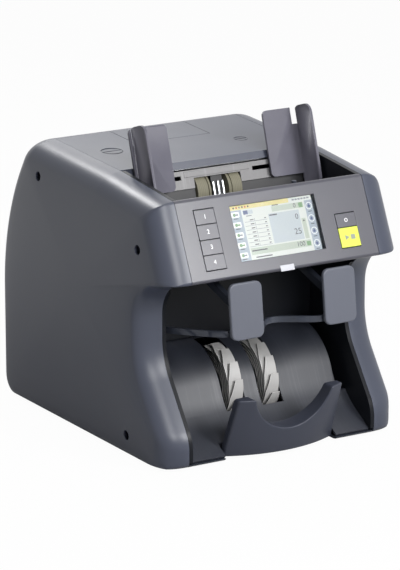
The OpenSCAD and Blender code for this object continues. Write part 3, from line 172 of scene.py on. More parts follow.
class CounterColours(bpy.types.PropertyGroup):
    """Colours of the finishes."""

    casing: colour("Casing", "Blue-grey moulding of the covers", tint(62, 66, 79))
    panel: colour("Panel", "Satin grey of the front panel", tint(68, 68, 76))
    guide: colour("Guides", "Grey of the note guides", tint(87, 86, 96))
    dark: colour("Dark moulding", "Hopper floor and gate", tint(46, 50, 60))
    drum: colour("Drum", "Drum and stacker floor", tint(35, 38, 47))
    pocket: colour("Pocket", "Near black of the walls round the stacker", tint(18, 20, 25))
    stopper: colour("Stopper", "Front stopper", tint(56, 59, 70))
    paddle: colour("Paddles", "Paddles of the gate", tint(84, 87, 97))
    plate: colour("Hopper plate", "Light plate behind the notes", tint(112, 111, 112))
    black: colour("Black", "Matte black parts", tint(22, 22, 25))
    vane: colour("Vanes", "Pale flexible plastic of the stacker wheels", tint(180, 179, 178))
    # Vane sides: a darker grey, painted shade for the shadowed cut sides of the vanes
    vane_side: colour("Vane sides", "Cut sides of the vanes, darker grey as painted shade", tint(64, 65, 68))
    tab: colour("Tab", "Pale tab on the lower edge of the panel", tint(172, 173, 180))
    steel: colour("Steel", "Shafts, plates and screws", tint(190, 192, 196))
    roller: colour("Feed rubber", "Ground rubber of the rollers", tint(112, 109, 92))
    yellow: colour("Start key", "Yellow-green keycap", tint(192, 205, 58))
    legend: colour("Legends", "Marks on the grey keys", tint(236, 236, 238))


class CounterStage(bpy.types.PropertyGroup):
    """Lamps, world and floor."""

    key_power: power("Key lamp", "Lamp at the front right, for the sheen of the front faces", 13.0)
    front_power: power("Front lamp", "Lamp ahead on the left, for the rounded front edges", 9.5)
    top_power: power("Top lamp", "Wide lamp overhead", 8.0)
    edge_power: power("Edge lamp", "Small bright lamp above the back, for the rim's corners", 7.5)
    back_power: power("Back lamp", "Wide lamp behind, for the top and the shoulders", 3.2)
    world_level: fraction("World", "Strength of the world on matte surfaces", 0.1)
    floor_glow: fraction("Floor glow", "Share of plain white in the floor that is seen", 0.97)
    floor_reach: length("Floor", "Half width of the floor", 4.0)


# Shader nodes


def feed(tree, node, values):
    """Fills inputs of a node by name or number, each from a socket or with a plain value."""
    for label, value in values.items():
        if isinstance(value, bpy.types.NodeSocket):
            tree.links.new(value, node.inputs[label])
        else:
            node.inputs[label].default_value = value
    return node


def add_node(tree, kind, values):
    return feed(tree, tree.nodes.new(kind), values)


def object_place(tree):
    return tree.nodes.new("ShaderNodeTexCoord").outputs["Object"]


def noise(tree, scale, detail, place):
    node = add_node(tree, "ShaderNodeTexNoise", {"Scale": scale, "Detail": detail, "Vector": place})
    return node.outputs["Fac"]


def ramp(tree, value, low, high):
    """A value spread so that the range from low to high becomes zero to one."""
    node = add_node(tree, "ShaderNodeMapRange", {"From Min": low, "From Max": high, "Value": value})
    return node.outputs["Result"]


def math_node(tree, operation, first, second):
    node = tree.nodes.new("ShaderNodeMath")
    node.operation = operation
    return feed(tree, node, {0: first, 1: second}).outputs[0]


def times(tree, first, second):
    return math_node(tree, "MULTIPLY", first, second)


def swing(tree, pattern, amount):
    """A pattern from zero to one as a swing round zero."""
    return times(tree, math_node(tree, "SUBTRACT", pattern, 0.5), amount)


def toned(tree, base, shift):
    """A colour made lighter or darker by a shift round zero."""
    level = math_node(tree, "ADD", shift, 1.0)
    return add_node(tree, "ShaderNodeHueSaturation", {"Value": level, "Color": base}).outputs["Color"]


# Shader node groups


def new_group(name, inputs, outputs):
    """An empty shader node group with named sockets; returns it, its inputs and its output node."""
    group = bpy.data.node_groups.new(name, "ShaderNodeTree")
    for side, labels in (("INPUT", inputs), ("OUTPUT", outputs)):
        for label in labels:
            kind = "NodeSocketColor" if label == "Colour" else "NodeSocketFloat"
            group.interface.new_socket(label, in_out=side, socket_type=kind)
    return group, group.nodes.new("NodeGroupInput").outputs, group.nodes.new("NodeGroupOutput")


def moulding_group():
    """Moulded plastic: cloudy tone, roughness that wanders and a fine spark-eroded grain."""
    group, given, out = new_group(
        "Moulded plastic", ("Colour", "Tone", "Roughness", "Spread", "Grain Scale"),
        ("Colour", "Roughness", "Height"))
    place = object_place(group)
    clouds = noise(group, 9.0, 3.0, place)
    specks = noise(group, 420.0, 2.0, place)
    blend = math_node(group, "ADD", times(group, clouds, 0.7), times(group, specks, 0.3))
    shift = times(group, swing(group, blend, given["Tone"]), 2.0)
    grain = add_node(group, "ShaderNodeTexVoronoi", {"Vector": place, "Scale": given["Grain Scale"]})
    feed(group, out, {
        "Colour": toned(group, given["Colour"], shift),
        "Roughness": math_node(group, "ADD", given["Roughness"], swing(group, clouds, given["Spread"])),
        "Height": grain.outputs["Distance"]})


def wear_group():
    """Rubbed edges: a mask along outer edges, broken up by noise."""
    group, given, out = new_group("Rubbed edges", ("Strength",), ("Mask",))
    shape = group.nodes.new("ShaderNodeNewGeometry").outputs["Pointiness"]
    patches = noise(group, 60.0, 4.0, object_place(group))
    broken = times(group, ramp(group, shape, 0.52, 0.62), patches)
    feed(group, out, {"Mask": times(group, broken, given["Strength"])})


def bands_group():
    """Turned or ground marks: fine rings along X with a little noise."""
    group, given, out = new_group(
        "Ground rings", ("Colour", "Tone", "Scale", "Roughness"), ("Colour", "Roughness", "Height"))
    place = object_place(group)
    wave = add_node(group, "ShaderNodeTexWave", {
        "Distortion": 0.6, "Detail": 2.0, "Scale": given["Scale"], "Vector": place})
    wave.wave_type = "BANDS"
    wave.bands_direction = "X"
    rings = wave.outputs["Fac"]
    rough = times(group, noise(group, 80.0, 3.0, place), 0.16)
    feed(group, out, {
        "Colour": toned(group, given["Colour"], swing(group, rings, given["Tone"])),
        "Roughness": math_node(group, "ADD", given["Roughness"], rough),
        "Height": rings})


def rub_group():
    """Rub marks of the notes: long fine streaks across X, as a mask."""
    group, given, out = new_group("Note rub", ("Strength",), ("Mask",))
    stretch = add_node(group, "ShaderNodeCombineXYZ", {"X": 420.0, "Y": 6.0, "Z": 6.0})
    scaled = group.nodes.new("ShaderNodeVectorMath")
    scaled.operation = "MULTIPLY"
    feed(group, scaled, {0: object_place(group), 1: stretch.outputs["Vector"]})
    streaks = ramp(group, noise(group, 1.0, 3.0, scaled.outputs["Vector"]), 0.52, 0.74)
    feed(group, out, {"Mask": times(group, streaks, given["Strength"])})


# Materials

GRAIN_DEPTH = 0.0001


def start_material(name):
    """A material with one Principled shader; returns it with its tree and the shader."""
    material = bpy.data.materials.new(name)
    material.use_nodes = True
    return material, material.node_tree, material.node_tree.nodes["Principled BSDF"]


def place_group(tree, group, values):
    """Puts a node group into a material; returns what it gives."""
    node = tree.nodes.new("ShaderNodeGroup")
    node.node_tree = bpy.data.node_groups[group]
    return feed(tree, node, values).outputs


def link_bump(tree, shader, height, strength):
    bump = add_node(tree, "ShaderNodeBump", {"Distance": GRAIN_DEPTH, "Strength": strength, "Height": height})
    feed(tree, shader, {"Normal": bump.outputs["Normal"]})


def moulded(name, base, roughness, tone=0.1, grain=1400.0, bump=0.25, wear=0.3, specular=0.5, rub=0.0):
    """Moulded plastic with grain, wandering roughness, paler rubbed edges and rub marks where notes run."""
    material, tree, shader = start_material(name)
    skin = place_group(tree, "Moulded plastic", {
        "Colour": (*base, 1.0), "Tone": tone, "Roughness": roughness, "Spread": 0.14, "Grain Scale": grain})
    worn = place_group(tree, "Rubbed edges", {"Strength": wear})["Mask"]
    rough = skin["Roughness"]
    if rub > 0.0:
        streaks = place_group(tree, "Note rub", {"Strength": rub})["Mask"]
        worn = math_node(tree, "MAXIMUM", worn, streaks)
        rough = math_node(tree, "SUBTRACT", rough, times(tree, streaks, 0.3))
    paler = (*[min(1.0, c * 1.8 + 0.02) for c in base], 1.0)
    mix = tree.nodes.new("ShaderNodeMix")
    mix.data_type = "RGBA"
    feed(tree, mix, {"Factor": worn, "A": skin["Colour"], "B": paler})
    feed(tree, shader, {
        "Base Color": mix.outputs["Result"], "Roughness": rough, "Specular IOR Level": specular})
    link_bump(tree, shader, skin["Height"], bump)
    return material


def ringed(name, base, roughness, scale, tone, metallic=0.0, bump=0.3):
    """Ground rubber or turned metal with fine rings round the X axis."""
    material, tree, shader = start_material(name)
    skin = place_group(tree, "Ground rings", {
        "Colour": (*base, 1.0), "Tone": tone, "Scale": scale, "Roughness": roughness})
    feed(tree, shader, {"Base Color": skin["Colour"], "Roughness": skin["Roughness"], "Metallic": metallic})
    link_bump(tree, shader, skin["Height"], bump)
    return material


def clear_glass(name):
    """Thin clear window with a coating that takes away most of its glare."""
    material, tree, shader = start_material(name)
    feed(tree, shader, {
        "Base Color": (0.97, 0.99, 0.99, 1.0), "Roughness": 0.12, "IOR": 1.1, "Transmission Weight": 1.0})
    return material


def lit(name, base, level):
    """A lit field of the screen: dark glass that glows, with a faint mottled tone."""
    material, tree, shader = start_material(name)
    skin = place_group(tree, "Moulded plastic", {
        "Colour": (*base, 1.0), "Tone": 0.03, "Roughness": 0.3, "Spread": 0.05, "Grain Scale": 3000.0})
    feed(tree, shader, {
        "Base Color": (0.02, 0.02, 0.02, 1.0), "Roughness": skin["Roughness"],
        "Emission Color": skin["Colour"], "Emission Strength": level})
    return material


def make_finishes(colours):
    """All finishes, by the slot of the record that they belong to."""
    for make_group in (moulding_group, wear_group, bands_group, rub_group):
        make_group()
    soft = {"tone": 0.15, "grain": 900.0, "bump": 0.4, "wear": 0.1}
    ink = {"tone": 0.04, "bump": 0.05, "wear": 0.0}
    return {
        "casing": moulded("Casing moulding", colours.casing, 0.34, tone=0.05, bump=0.12, specular=0.38),
        "panel": moulded("Panel paint", colours.panel, 0.32, tone=0.04, bump=0.1, specular=0.46),
        "guide": moulded("Guide moulding", colours.guide, 0.4, tone=0.05, bump=0.12, specular=0.25),
        "dark": moulded("Dark moulding", colours.dark, 0.36, tone=0.08, bump=0.1, specular=0.4, rub=0.3),
        "drum": moulded("Drum moulding", colours.drum, 0.48, tone=0.08, bump=0.1, specular=0.65, rub=0.3),
        "pocket": moulded("Pocket moulding", colours.pocket, 0.34, tone=0.1, bump=0.08, specular=0.15),
        "stopper": moulded("Stopper moulding", colours.stopper, 0.34, tone=0.05, bump=0.12, specular=0.25),
        "paddle": moulded("Paddle moulding", colours.paddle, 0.42, tone=0.05, bump=0.15, specular=0.4),
        "tab": moulded("Tab paint", colours.tab, 0.4, tone=0.04, bump=0.05, wear=0.1),
        "hopper_plate": moulded("Hopper plate paint", colours.plate, 0.42, tone=0.06, bump=0.15, rub=0.25),
        "black": moulded("Matte black", colours.black, 0.5, tone=0.1, bump=0.2),
        "vane": moulded("Vane plastic", colours.vane, 0.45, tone=0.08, bump=0.15, wear=0.1),
        # Painted shade: the darker grey on the vanes' cut sides stands in for their shadow
        "vane_side": moulded("Vane sides", colours.vane_side, 0.55, tone=0.15, bump=0.15, wear=0.0),
        "steel": ringed("Turned steel", colours.steel, 0.22, 900.0, 0.08, metallic=1.0, bump=0.1),
        "roller_rubber": ringed("Ground feed rubber", colours.roller, 0.62, 160.0, 0.22, bump=0.6),
        "foot_rubber": moulded("Foot rubber", tint(30, 30, 30), 0.75, **soft),
        "belt_rubber": moulded("Belt rubber", tint(32, 32, 34), 0.7, **soft),
        "board": moulded("Circuit board", tint(38, 110, 70), 0.4, tone=0.2, grain=500.0, bump=0.2, wear=0.1),
        "motor": moulded("Motor paint", tint(76, 76, 82), 0.4, tone=0.1, wear=0.5),
        "supply": ringed("Supply case", tint(172, 173, 176), 0.35, 500.0, 0.06, metallic=1.0, bump=0.1),
        "glass": clear_glass("Window glass"),
        "screen": moulded("Screen body", tint(60, 63, 68), 0.35, wear=0.1),
        "start_yellow": moulded("Start key plastic", colours.yellow, 0.38, tone=0.04, bump=0.12, wear=0.05),
        "rocker": moulded("Rocker plastic", tint(140, 26, 26), 0.3, tone=0.05, bump=0.1, wear=0.1),
        "legend": moulded("Key legend ink", colours.legend, 0.5, **ink),
        "start_legend": moulded("Start legend ink", tint(128, 134, 120), 0.5, **ink),
    }


FINISH = {}


# Mesh helpers


def verts_of(geom):
    return [g for g in geom if isinstance(g, bmesh.types.BMVert)]


def everything(bm):
    return bm.verts[:] + bm.edges[:] + bm.faces[:]


def closed_loop(bm, points):
    """Vertices at some points, and a closed ring of edges through them."""
    verts = [bm.verts.new(p) for p in points]
    return verts, [bm.edges.new((verts[i - 1], v)) for i, v in enumerate(verts)]


def spun(bm, section, centre, axis, steps):
    """A ring that is spun from the corners of its section."""
    verts, edges = closed_loop(bm, section)
    bmesh.ops.spin(bm, geom=verts + edges, cent=centre, axis=axis, dvec=(0, 0, 0), angle=2 * math.pi,
                   steps=steps, use_merge=True)


def spun_tube(bm, y, z, inner, outer, x0, x1, steps=40):
    """A tube along X."""
    section = [(x, y, z + r) for x, r in ((x0, inner), (x1, inner), (x1, outer), (x0, outer))]
    spun(bm, section, (0, y, z), (1, 0, 0), steps)


def raise_faces(bm, faces, vec):
    fresh = bmesh.ops.extrude_face_region(bm, geom=faces)["geom"]
    bmesh.ops.translate(bm, verts=verts_of(fresh), vec=vec)


def add_box(bm, low, high):
    """A box between two corners, from a unit cube."""
    matrix = Matrix.Translation((low + high) / 2) @ Matrix.Diagonal((*(high - low), 1.0))
    return bmesh.ops.create_cube(bm, size=1.0, matrix=matrix)["verts"]


def sharp_edges(bm, least_angle):
    """Edges of some length whose faces meet at more than an angle."""
    least = math.radians(least_angle)
    return [e for e in bm.edges
            if len(e.link_faces) == 2 and e.calc_face_angle() > least and e.calc_length() > 0.0]


def round_edges(bm, edges, radius, segments):
    if radius > 0.0:
        bmesh.ops.bevel(bm, geom=edges, offset=radius, offset_type="OFFSET", segments=segments, profile=0.5,
                        affect="EDGES", clamp_overlap=True, material=-1)


def face_away(bm, middle):
    """Turns the faces of an open sheet away from a point."""
    bmesh.ops.recalc_face_normals(bm, faces=bm.faces)
    bm.normal_update()
    if sum(f.normal.dot(f.calc_center_median() - middle) * f.calc_area() for f in bm.faces) < 0.0:
        bmesh.ops.reverse_faces(bm, faces=bm.faces)
        bm.normal_update()


def to_frame(bm, sign=1):
    """Brings a mesh from layout millimetres to frame metres, mirrored where the sign is negative."""
    place = Matrix.Translation(OFFSET) @ Matrix.Diagonal((sign * MM, MM, MM, 1.0))
    bmesh.ops.transform(bm, matrix=place, verts=bm.verts)


def plain_mesh(bm, name):
    mesh = bpy.data.meshes.new(name)
    bm.to_mesh(mesh)
    bm.free()
    return mesh


def mesh_from(bm, name, smooth_angle=35.0):
    """Writes a bmesh to a new mesh, smooth up to an angle."""
    mesh = plain_mesh(bm, name)
    for polygon in mesh.polygons:
        polygon.use_smooth = True
    mesh.set_sharp_from_angle(angle=math.radians(smooth_angle))
    return mesh


def new_object(name, data):
    holder = bpy.data.objects.new(name, data)
    bpy.context.scene.collection.objects.link(holder)
    return holder


def evaluated_mesh(holder):
    """A mesh of an object as its modifiers leave it."""
    bpy.context.view_layer.update()
    return bpy.data.meshes.new_from_object(holder.evaluated_get(bpy.context.evaluated_depsgraph_get()))


def cut(mesh, cutter_bm):
    """The mesh with the cutter's volume taken out."""
    body, cutter = new_object("cut_body", mesh), new_object("cutter", plain_mesh(cutter_bm, "cutter"))
    boolean = body.modifiers.new("cut", "BOOLEAN")
    boolean.operation = "DIFFERENCE"
    boolean.solver = "EXACT"
    boolean.object = cutter
    result = evaluated_mesh(body)
    for holder in (body, cutter):
        bpy.data.objects.remove(holder)
    return result


# Piece helpers

MERGE_DISTANCE = 2e-6
FLAT_ANGLE = 0.4
EDGE_ANGLE = 32.0


def link_piece(name, mesh, materials, body, replaces=()):
    """Links a finished mesh as a piece that rides on a body and takes a slot's finish."""
    piece = new_object(name, mesh)
    for material in materials:
        mesh.materials.append(material)
    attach(piece, body)
    if replaces:
        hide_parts(*replaces)
    return piece


def node_copy(node):
    """A merged copy of a CAD node's mesh with its flat faces joined."""
    bm = bmesh.new()
    bm.from_mesh(NODES[node].data)
    bmesh.ops.remove_doubles(bm, verts=bm.verts, dist=MERGE_DISTANCE)
    bmesh.ops.dissolve_limit(bm, angle_limit=math.radians(FLAT_ANGLE), verts=bm.verts, edges=bm.edges)
    return bm


def dress(node, edge, segments=2, finish=None, first=None):
    """Replaces a CAD node by a copy whose edges are rounded and whose flat faces shade evenly."""
    bm = node_copy(node)
    if first:
        first(bm)
    round_edges(bm, sharp_edges(bm, EDGE_ANGLE), edge, segments)
    slot, body = SLOT_OF[node], NODES[node]["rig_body"]
    mesh = mesh_from(bm, node + "_dressed")
    piece = link_piece(node + "_dressed", mesh, [FINISH[finish or slot]], body, [node])
    even = piece.modifiers.new("Even shading", "WEIGHTED_NORMAL")
    even.keep_sharp = True
    return piece


def second_finish(piece, finish, chosen):
    """Gives the faces that a test picks a second finish."""
    piece.data.materials.append(FINISH[finish])
    for polygon in piece.data.polygons:
        if chosen(polygon):
            polygon.material_index = len(piece.data.materials) - 1


def finish_node(node):
    """Gives a CAD node that keeps its own mesh the finish of its slot."""
    holder = NODES[node]
    material = FINISH[SLOT_OF[node]]
    if not holder.material_slots:
        holder.data.materials.append(material)
    for slot in holder.material_slots:
        slot.material = material


# Side covers


def unit(v):
    return v / v.length


def arc_points(before, corner, after):
    """Points of a rounded corner of the outline."""
    p, radius, steps = Vector(corner[:2]), corner[2], corner[3]
    u, v = unit(Vector(before[:2]) - p), unit(Vector(after[:2]) - p)
    half = u.angle(v) / 2.0
    middle = p + unit(u + v) * radius / math.sin(half)
    start = p + u * radius / math.tan(half) - middle
    end = p + v * radius / math.tan(half) - middle
    first = math.atan2(start.y, start.x)
    sweep = (math.atan2(end.y, end.x) - first + math.pi) % (2 * math.pi) - math.pi
    angles = [first + sweep * k / steps for k in range(steps + 1)]
    return [middle + radius * Vector((math.cos(a), math.sin(a))) for a in angles]


def corner_arcs(corners):
    return [arc_points(corners[i - 1], c, corners[(i + 1) % len(corners)]) for i, c in enumerate(corners)]


def inset(distance):
    """The corners of the outline moved inwards, each edge by its own share."""
    moved = []
    for i, corner in enumerate(SIDE):
        before, after = SIDE[i - 1], SIDE[(i + 1) % len(SIDE)]
        p = Vector(corner[:2])
        into, away = unit(p - Vector(before[:2])), unit(Vector(after[:2]) - p)
        n, m = Vector((into.y, -into.x)), Vector((away.y, -away.x))
        dn, dm = distance * EDGE_SHARE[i - 1], distance * EDGE_SHARE[i]
        det = n.x * m.y - n.y * m.x
        q = Vector((dn * m.y - n.y * dm, n.x * dm - m.x * dn)) / det
        radius = corner[2] + (1 if det > 0 else -1) * (dn + dm) / 2
        moved.append((p.x + q.x, p.y + q.y, max(corner[4] * distance, radius), *corner[3:]))
    return moved


def outline(corners, runs):
    """Points of the rounded outline, with its straight runs divided."""
    arcs = corner_arcs(corners)
    points = []
    for i, arc in enumerate(arcs):
        points += arc
        last, following = arc[-1], arcs[(i + 1) % len(arcs)][0]
        points += [last.lerp(following, k / runs[i]) for k in range(1, runs[i])]
    return points


def run_counts():
    """Into how many pieces each straight run of the outline is divided."""
    arcs = corner_arcs(SIDE)
    gaps = [(arcs[(i + 1) % len(arcs)][0] - arc[-1]).length for i, arc in enumerate(arcs)]
    return [max(1, round(gap / RUN_STEP)) for gap in gaps]


def flank_rings(sizes):
    """Rings of a cover's skin from the seam to the middle of the flank, in millimetres."""
    depth, shoulder, bow = sizes.depth / MM, sizes.shoulder / MM, sizes.bow / MM
    runs = run_counts()
    skin = []
    for k in range(sizes.rings + 1):
        angle = math.pi / 2 * k / sizes.rings
        edge = outline(inset(shoulder * (1 - math.cos(angle))), runs)
        skin.append([Vector((SEAM_HALF + depth * math.sin(angle), p.x, p.y)) for p in edge])
    rim = skin[-1]
    for share in FLANK_SHARES:
        swell = bow * (1 - share * share) ** 1.5
        skin.append([Vector((p.x + swell, FLANK_MIDDLE[0] + (p.y - FLANK_MIDDLE[0]) * share,
                             FLANK_MIDDLE[1] + (p.z - FLANK_MIDDLE[1]) * share)) for p in rim])
    return skin


def loft(rings):
    """Joins closed rings of equal length by extruding one into the next."""
    bm = bmesh.new()
    verts, edges = closed_loop(bm, rings[0])
    for ring in rings[1:]:
        marks = {v.co.to_tuple(6): i for i, v in enumerate(verts)}
        fresh = bmesh.ops.extrude_edge_only(bm, edges=edges)["geom"]
        order = {marks[v.co.to_tuple(6)]: v for v in verts_of(fresh)}
        edges = [e for e in fresh if isinstance(e, bmesh.types.BMEdge)]
        verts = [order[i] for i in range(len(ring))]
        for v, p in zip(verts, ring):
            v.co = p
    return bm


def even_dome(bm, flank, rim_x, bow):
    """Blurs the ridges of the flank and brings it back to its full bow."""
    for _ in range(FLANK_BLURS):
        bmesh.ops.smooth_vert(bm, verts=flank, factor=0.5, use_axis_x=True)
    swell = max(v.co.x for v in flank) - rim_x
    bmesh.ops.scale(bm, vec=(bow / swell, 1, 1), space=Matrix.Translation((-rim_x, 0, 0)), verts=flank)


def cover_cutter():
    """Drills for the screw wells and slits for the rear vents."""
    bm = bmesh.new()
    for y, z in SCREW_SPOTS:
        turn = Matrix.Translation((SEAM_HALF + DRILL_MIDDLE, y, z)) @ Matrix.Rotation(math.pi / 2, 4, "Y")
        bmesh.ops.create_cone(bm, cap_ends=True, segments=48, radius1=WELL_HOLE, radius2=WELL_HOLE,
                              depth=DRILL_LENGTH, matrix=turn)
    for z in VENT_HEIGHTS:
        add_box(bm, Vector((SEAM_HALF - CUT_SPARE, REAR_Y - VENT_DEPTH, z - VENT_HALF)),
                Vector((SEAM_HALF + VENT_LENGTH, REAR_Y + CUT_SPARE, z + VENT_HALF)))
    return bm


def side_cover_mesh(sign, sizes):
    """One side cover: a domed shell with screw wells and rear vents."""
    rings = flank_rings(sizes)
    tip = Vector((rings[-1][0].x, *FLANK_MIDDLE))
    bm = loft(rings)
    last = [e for e in bm.edges if e.is_boundary and e.verts[0].co.x > rings[-2][0].x]
    fresh = bmesh.ops.extrude_edge_only(bm, edges=last)["geom"]
    bmesh.ops.pointmerge(bm, verts=verts_of(fresh), merge_co=tip)
    flank = list(bm.verts)[len(rings[0]) * (sizes.rings + 1):]
    even_dome(bm, flank, rings[sizes.rings][0].x, sizes.bow / MM)
    face_away(bm, Vector((0.0, *FLANK_MIDDLE)))
    bmesh.ops.solidify(bm, geom=bm.faces, thickness=WALL)
    shell = cut(plain_mesh(bm, "cover_shell"), cover_cutter())
    bm = bmesh.new()
    bm.from_mesh(shell)
    well_top = SEAM_HALF + sizes.depth / MM - WALL
    for y, z in SCREW_SPOTS:
        spun_tube(bm, y, z, WELL_HOLE, WELL_OUTSIDE, SEAM_HALF + WELL_FLOOR, well_top)
    to_frame(bm, sign)
    bmesh.ops.remove_doubles(bm, verts=bm.verts, dist=1e-6)
    if sign < 0:
        bmesh.ops.reverse_faces(bm, faces=bm.faces)
    return mesh_from(bm, "side_cover", 40.0)


class COUNTER_OT_side_covers(bpy.types.Operator):
    """Lofts both side covers with their screw wells and vents"""

    bl_idname = "counter.side_covers"
    bl_label = "Side covers"

    def execute(self, context):
        sizes = context.scene.counter_sizes
        for node, sign in (("left_side_cover", -1), ("right_side_cover", 1)):
            mesh = side_cover_mesh(sign, sizes)
            link_piece(node + "_skin", mesh, [FINISH["casing"]], "counter", [node])
        return {"FINISHED"}


class COUNTER_OT_casing(bpy.types.Operator):
    """Rounds the edges of the middle covers and the rear pieces"""

    bl_idname = "counter.casing"
    bl_label = "Middle covers"

    def execute(self, context):
        sizes = context.scene.counter_sizes
        for node in ("top_cover", "front_panel", "rear_door", "rear_panel"):
            dress(node, sizes.cover_edge)
        for node in ("left_adjuster", "right_adjuster", "power_inlet", "power_rocker", "data_ports"):
            dress(node, sizes.small_edge)
        return {"FINISHED"}


# Hopper


def round_notch(bm, radius):
    """Rounds the corner of a note guide's face beside its notch."""
    top = max(v.co.dot(HOPPER_UP) for v in bm.verts)
    posts = [e for e in sharp_edges(bm, 60.0) if e.is_convex and e.calc_length() < GUIDE_WALL
             and abs(unit(e.verts[1].co - e.verts[0].co).dot(HOPPER_BACK)) > 0.99
             and max(v.co.dot(HOPPER_UP) for v in e.verts) > top - GUIDE_WALL]
    round_edges(bm, posts, radius, 6)


class COUNTER_OT_hopper(bpy.types.Operator):
    """Rounds the note guides and finishes the plates of the hopper"""

    bl_idname = "counter.hopper"
    bl_label = "Hopper"

    def execute(self, context):
        sizes = context.scene.counter_sizes
        for node in ("left_guide", "right_guide"):
            dress(node, sizes.guide_edge, finish="guide",
                  first=lambda bm: round_notch(bm, sizes.notch_corner))
        for node in ("hopper_back_plate", "hopper_floor", "throat_plate"):
            dress(node, sizes.small_edge)
        separator = dress("separator_bracket", sizes.small_edge, finish="black")
        reach = SEPARATOR_FACE + min(polygon.center.dot(HOPPER_BACK) for polygon in separator.data.polygons)
        second_finish(separator, "steel", lambda polygon: polygon.center.dot(HOPPER_BACK) < reach)
        return {"FINISHED"}


# Screen and keys: sizes in metres, and places as shares of a face from its top left corner
LAYER = 2e-5
SCREEN_HEIGHT = 0.0613
MODULE_HALF = 0.0018
SCREEN_SINK = 0.0003
KEY_SIZE = (0.0224, 0.0151)
KEY_HALF = 0.0025
DIGIT_SIZE = 0.0062
MARK_HEIGHT = 1e-4
SHADES = {
    "paper": ((228, 231, 226), 0.85), "header": ((234, 220, 150), 0.85), "column": ((168, 180, 194), 0.85),
    "field": ((196, 205, 210), 0.85), "green": ((192, 202, 188), 0.85), "deep green": ((116, 156, 110), 0.9),
    "line": ((126, 134, 142), 0.9), "ink": ((40, 46, 58), 0.9), "red": ((196, 74, 60), 0.9),
    "white": ((244, 246, 244), 0.9), "blue": ((70, 88, 132), 0.9),
}
TOTAL_TILES = [
    (0.50, 0.135, 0.85, 0.225, 3, "green"), (0.51, 0.115, 0.58, 0.13, 4, "ink"),
    (0.80, 0.14, 0.845, 0.22, 4, "deep green"), (0.45, 0.25, 0.79, 0.735, 3, "field"),
    (0.46, 0.265, 0.545, 0.285, 4, "ink"), (0.80, 0.40, 0.845, 0.735, 3, "green"),
    (0.18, 0.755, 0.85, 0.865, 3, "green"), (0.19, 0.79, 0.36, 0.81, 4, "ink"),
    (0.80, 0.78, 0.845, 0.85, 4, "deep green"), (0.22, 0.90, 0.40, 0.918, 4, "ink"),
]
TOTAL_FIGURES = [
    ("0", 0.755, 0.18, 0.0062), ("0", 0.755, 0.36, 0.0075),
    ("25", 0.735, 0.60, 0.0085), ("100", 0.735, 0.81, 0.0066),
]


def place_on_panel(bm, node, half):
    """Lays a flat drawing on a panel piece, half its thickness out from its middle."""
    low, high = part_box(node)
    matrix = Matrix((Vector((1, 0, 0)), PANEL_UP, PANEL_OUT)).transposed().to_4x4()
    matrix.translation = (low + high) / 2 + PANEL_OUT * half
    bmesh.ops.transform(bm, matrix=matrix, verts=bm.verts)


def text_mesh(words, size):
    """A flat mesh of some figures, centred."""
    curve = bpy.data.curves.new("figures", "FONT")
    curve.body, curve.size = words, size
    curve.align_x = curve.align_y = "CENTER"
    holder = new_object("figures", curve)
    mesh = evaluated_mesh(holder)
    bpy.data.objects.remove(holder)
    return mesh


class Tiles:
    """Collects thin raised tiles on one face, in the materials of a palette."""

    def __init__(self, width, height, palette):
        self.bm = bmesh.new()
        self.width, self.height, self.palette = width, height, palette
        self.materials = []

    def paint(self, before, shade):
        """Gives one material to every face made since then."""
        material = self.palette[shade]
        if material not in self.materials:
            self.materials.append(material)
        number = self.materials.index(material)
        for face in self.bm.faces:
            if face not in before:
                face.material_index = number

    def point(self, u, v):
        """A place given as shares from the top left corner."""
        return (u - 0.5) * self.width, (0.5 - v) * self.height

    def tile(self, u0, v0, u1, v1, layer, shade, corner=0.0):
        """A rectangle, raised to a layer."""
        before = set(self.bm.faces)
        x0, y1 = self.point(u0, v0)
        x1, y0 = self.point(u1, v1)
        top = layer * LAYER
        verts = add_box(self.bm, Vector((x0, y0, 0.0)), Vector((x1, y1, top)))
        if corner > 0.0:
            posts = [e for e in self.bm.edges if e.verts[0] in verts and e.verts[1] in verts
                     and abs(e.verts[0].co.z - e.verts[1].co.z) > top / 2]
            round_edges(self.bm, posts, corner, 4)
        self.paint(before, shade)

    def disc(self, u, v, radius, layer, shade, segments=28):
        before = set(self.bm.faces)
        top = layer * LAYER
        bmesh.ops.create_cone(self.bm, cap_ends=True, segments=segments, radius1=radius, radius2=radius,
                              depth=top, matrix=Matrix.Translation((*self.point(u, v), top / 2)))
        self.paint(before, shade)

    def figures(self, words, u, v, size, layer, shade):
        """Plain figures, given a thickness."""
        before, known = set(self.bm.faces), set(self.bm.verts)
        self.bm.from_mesh(text_mesh(words, size))
        fresh = [w for w in self.bm.verts if w not in known]
        bmesh.ops.translate(self.bm, verts=fresh, vec=(*self.point(u, v), 0.0))
        bmesh.ops.remove_doubles(self.bm, verts=fresh, dist=1e-7)
        raise_faces(self.bm, [f for f in self.bm.faces if f not in before], (0.0, 0.0, layer * LAYER))
        self.paint(before, shade)


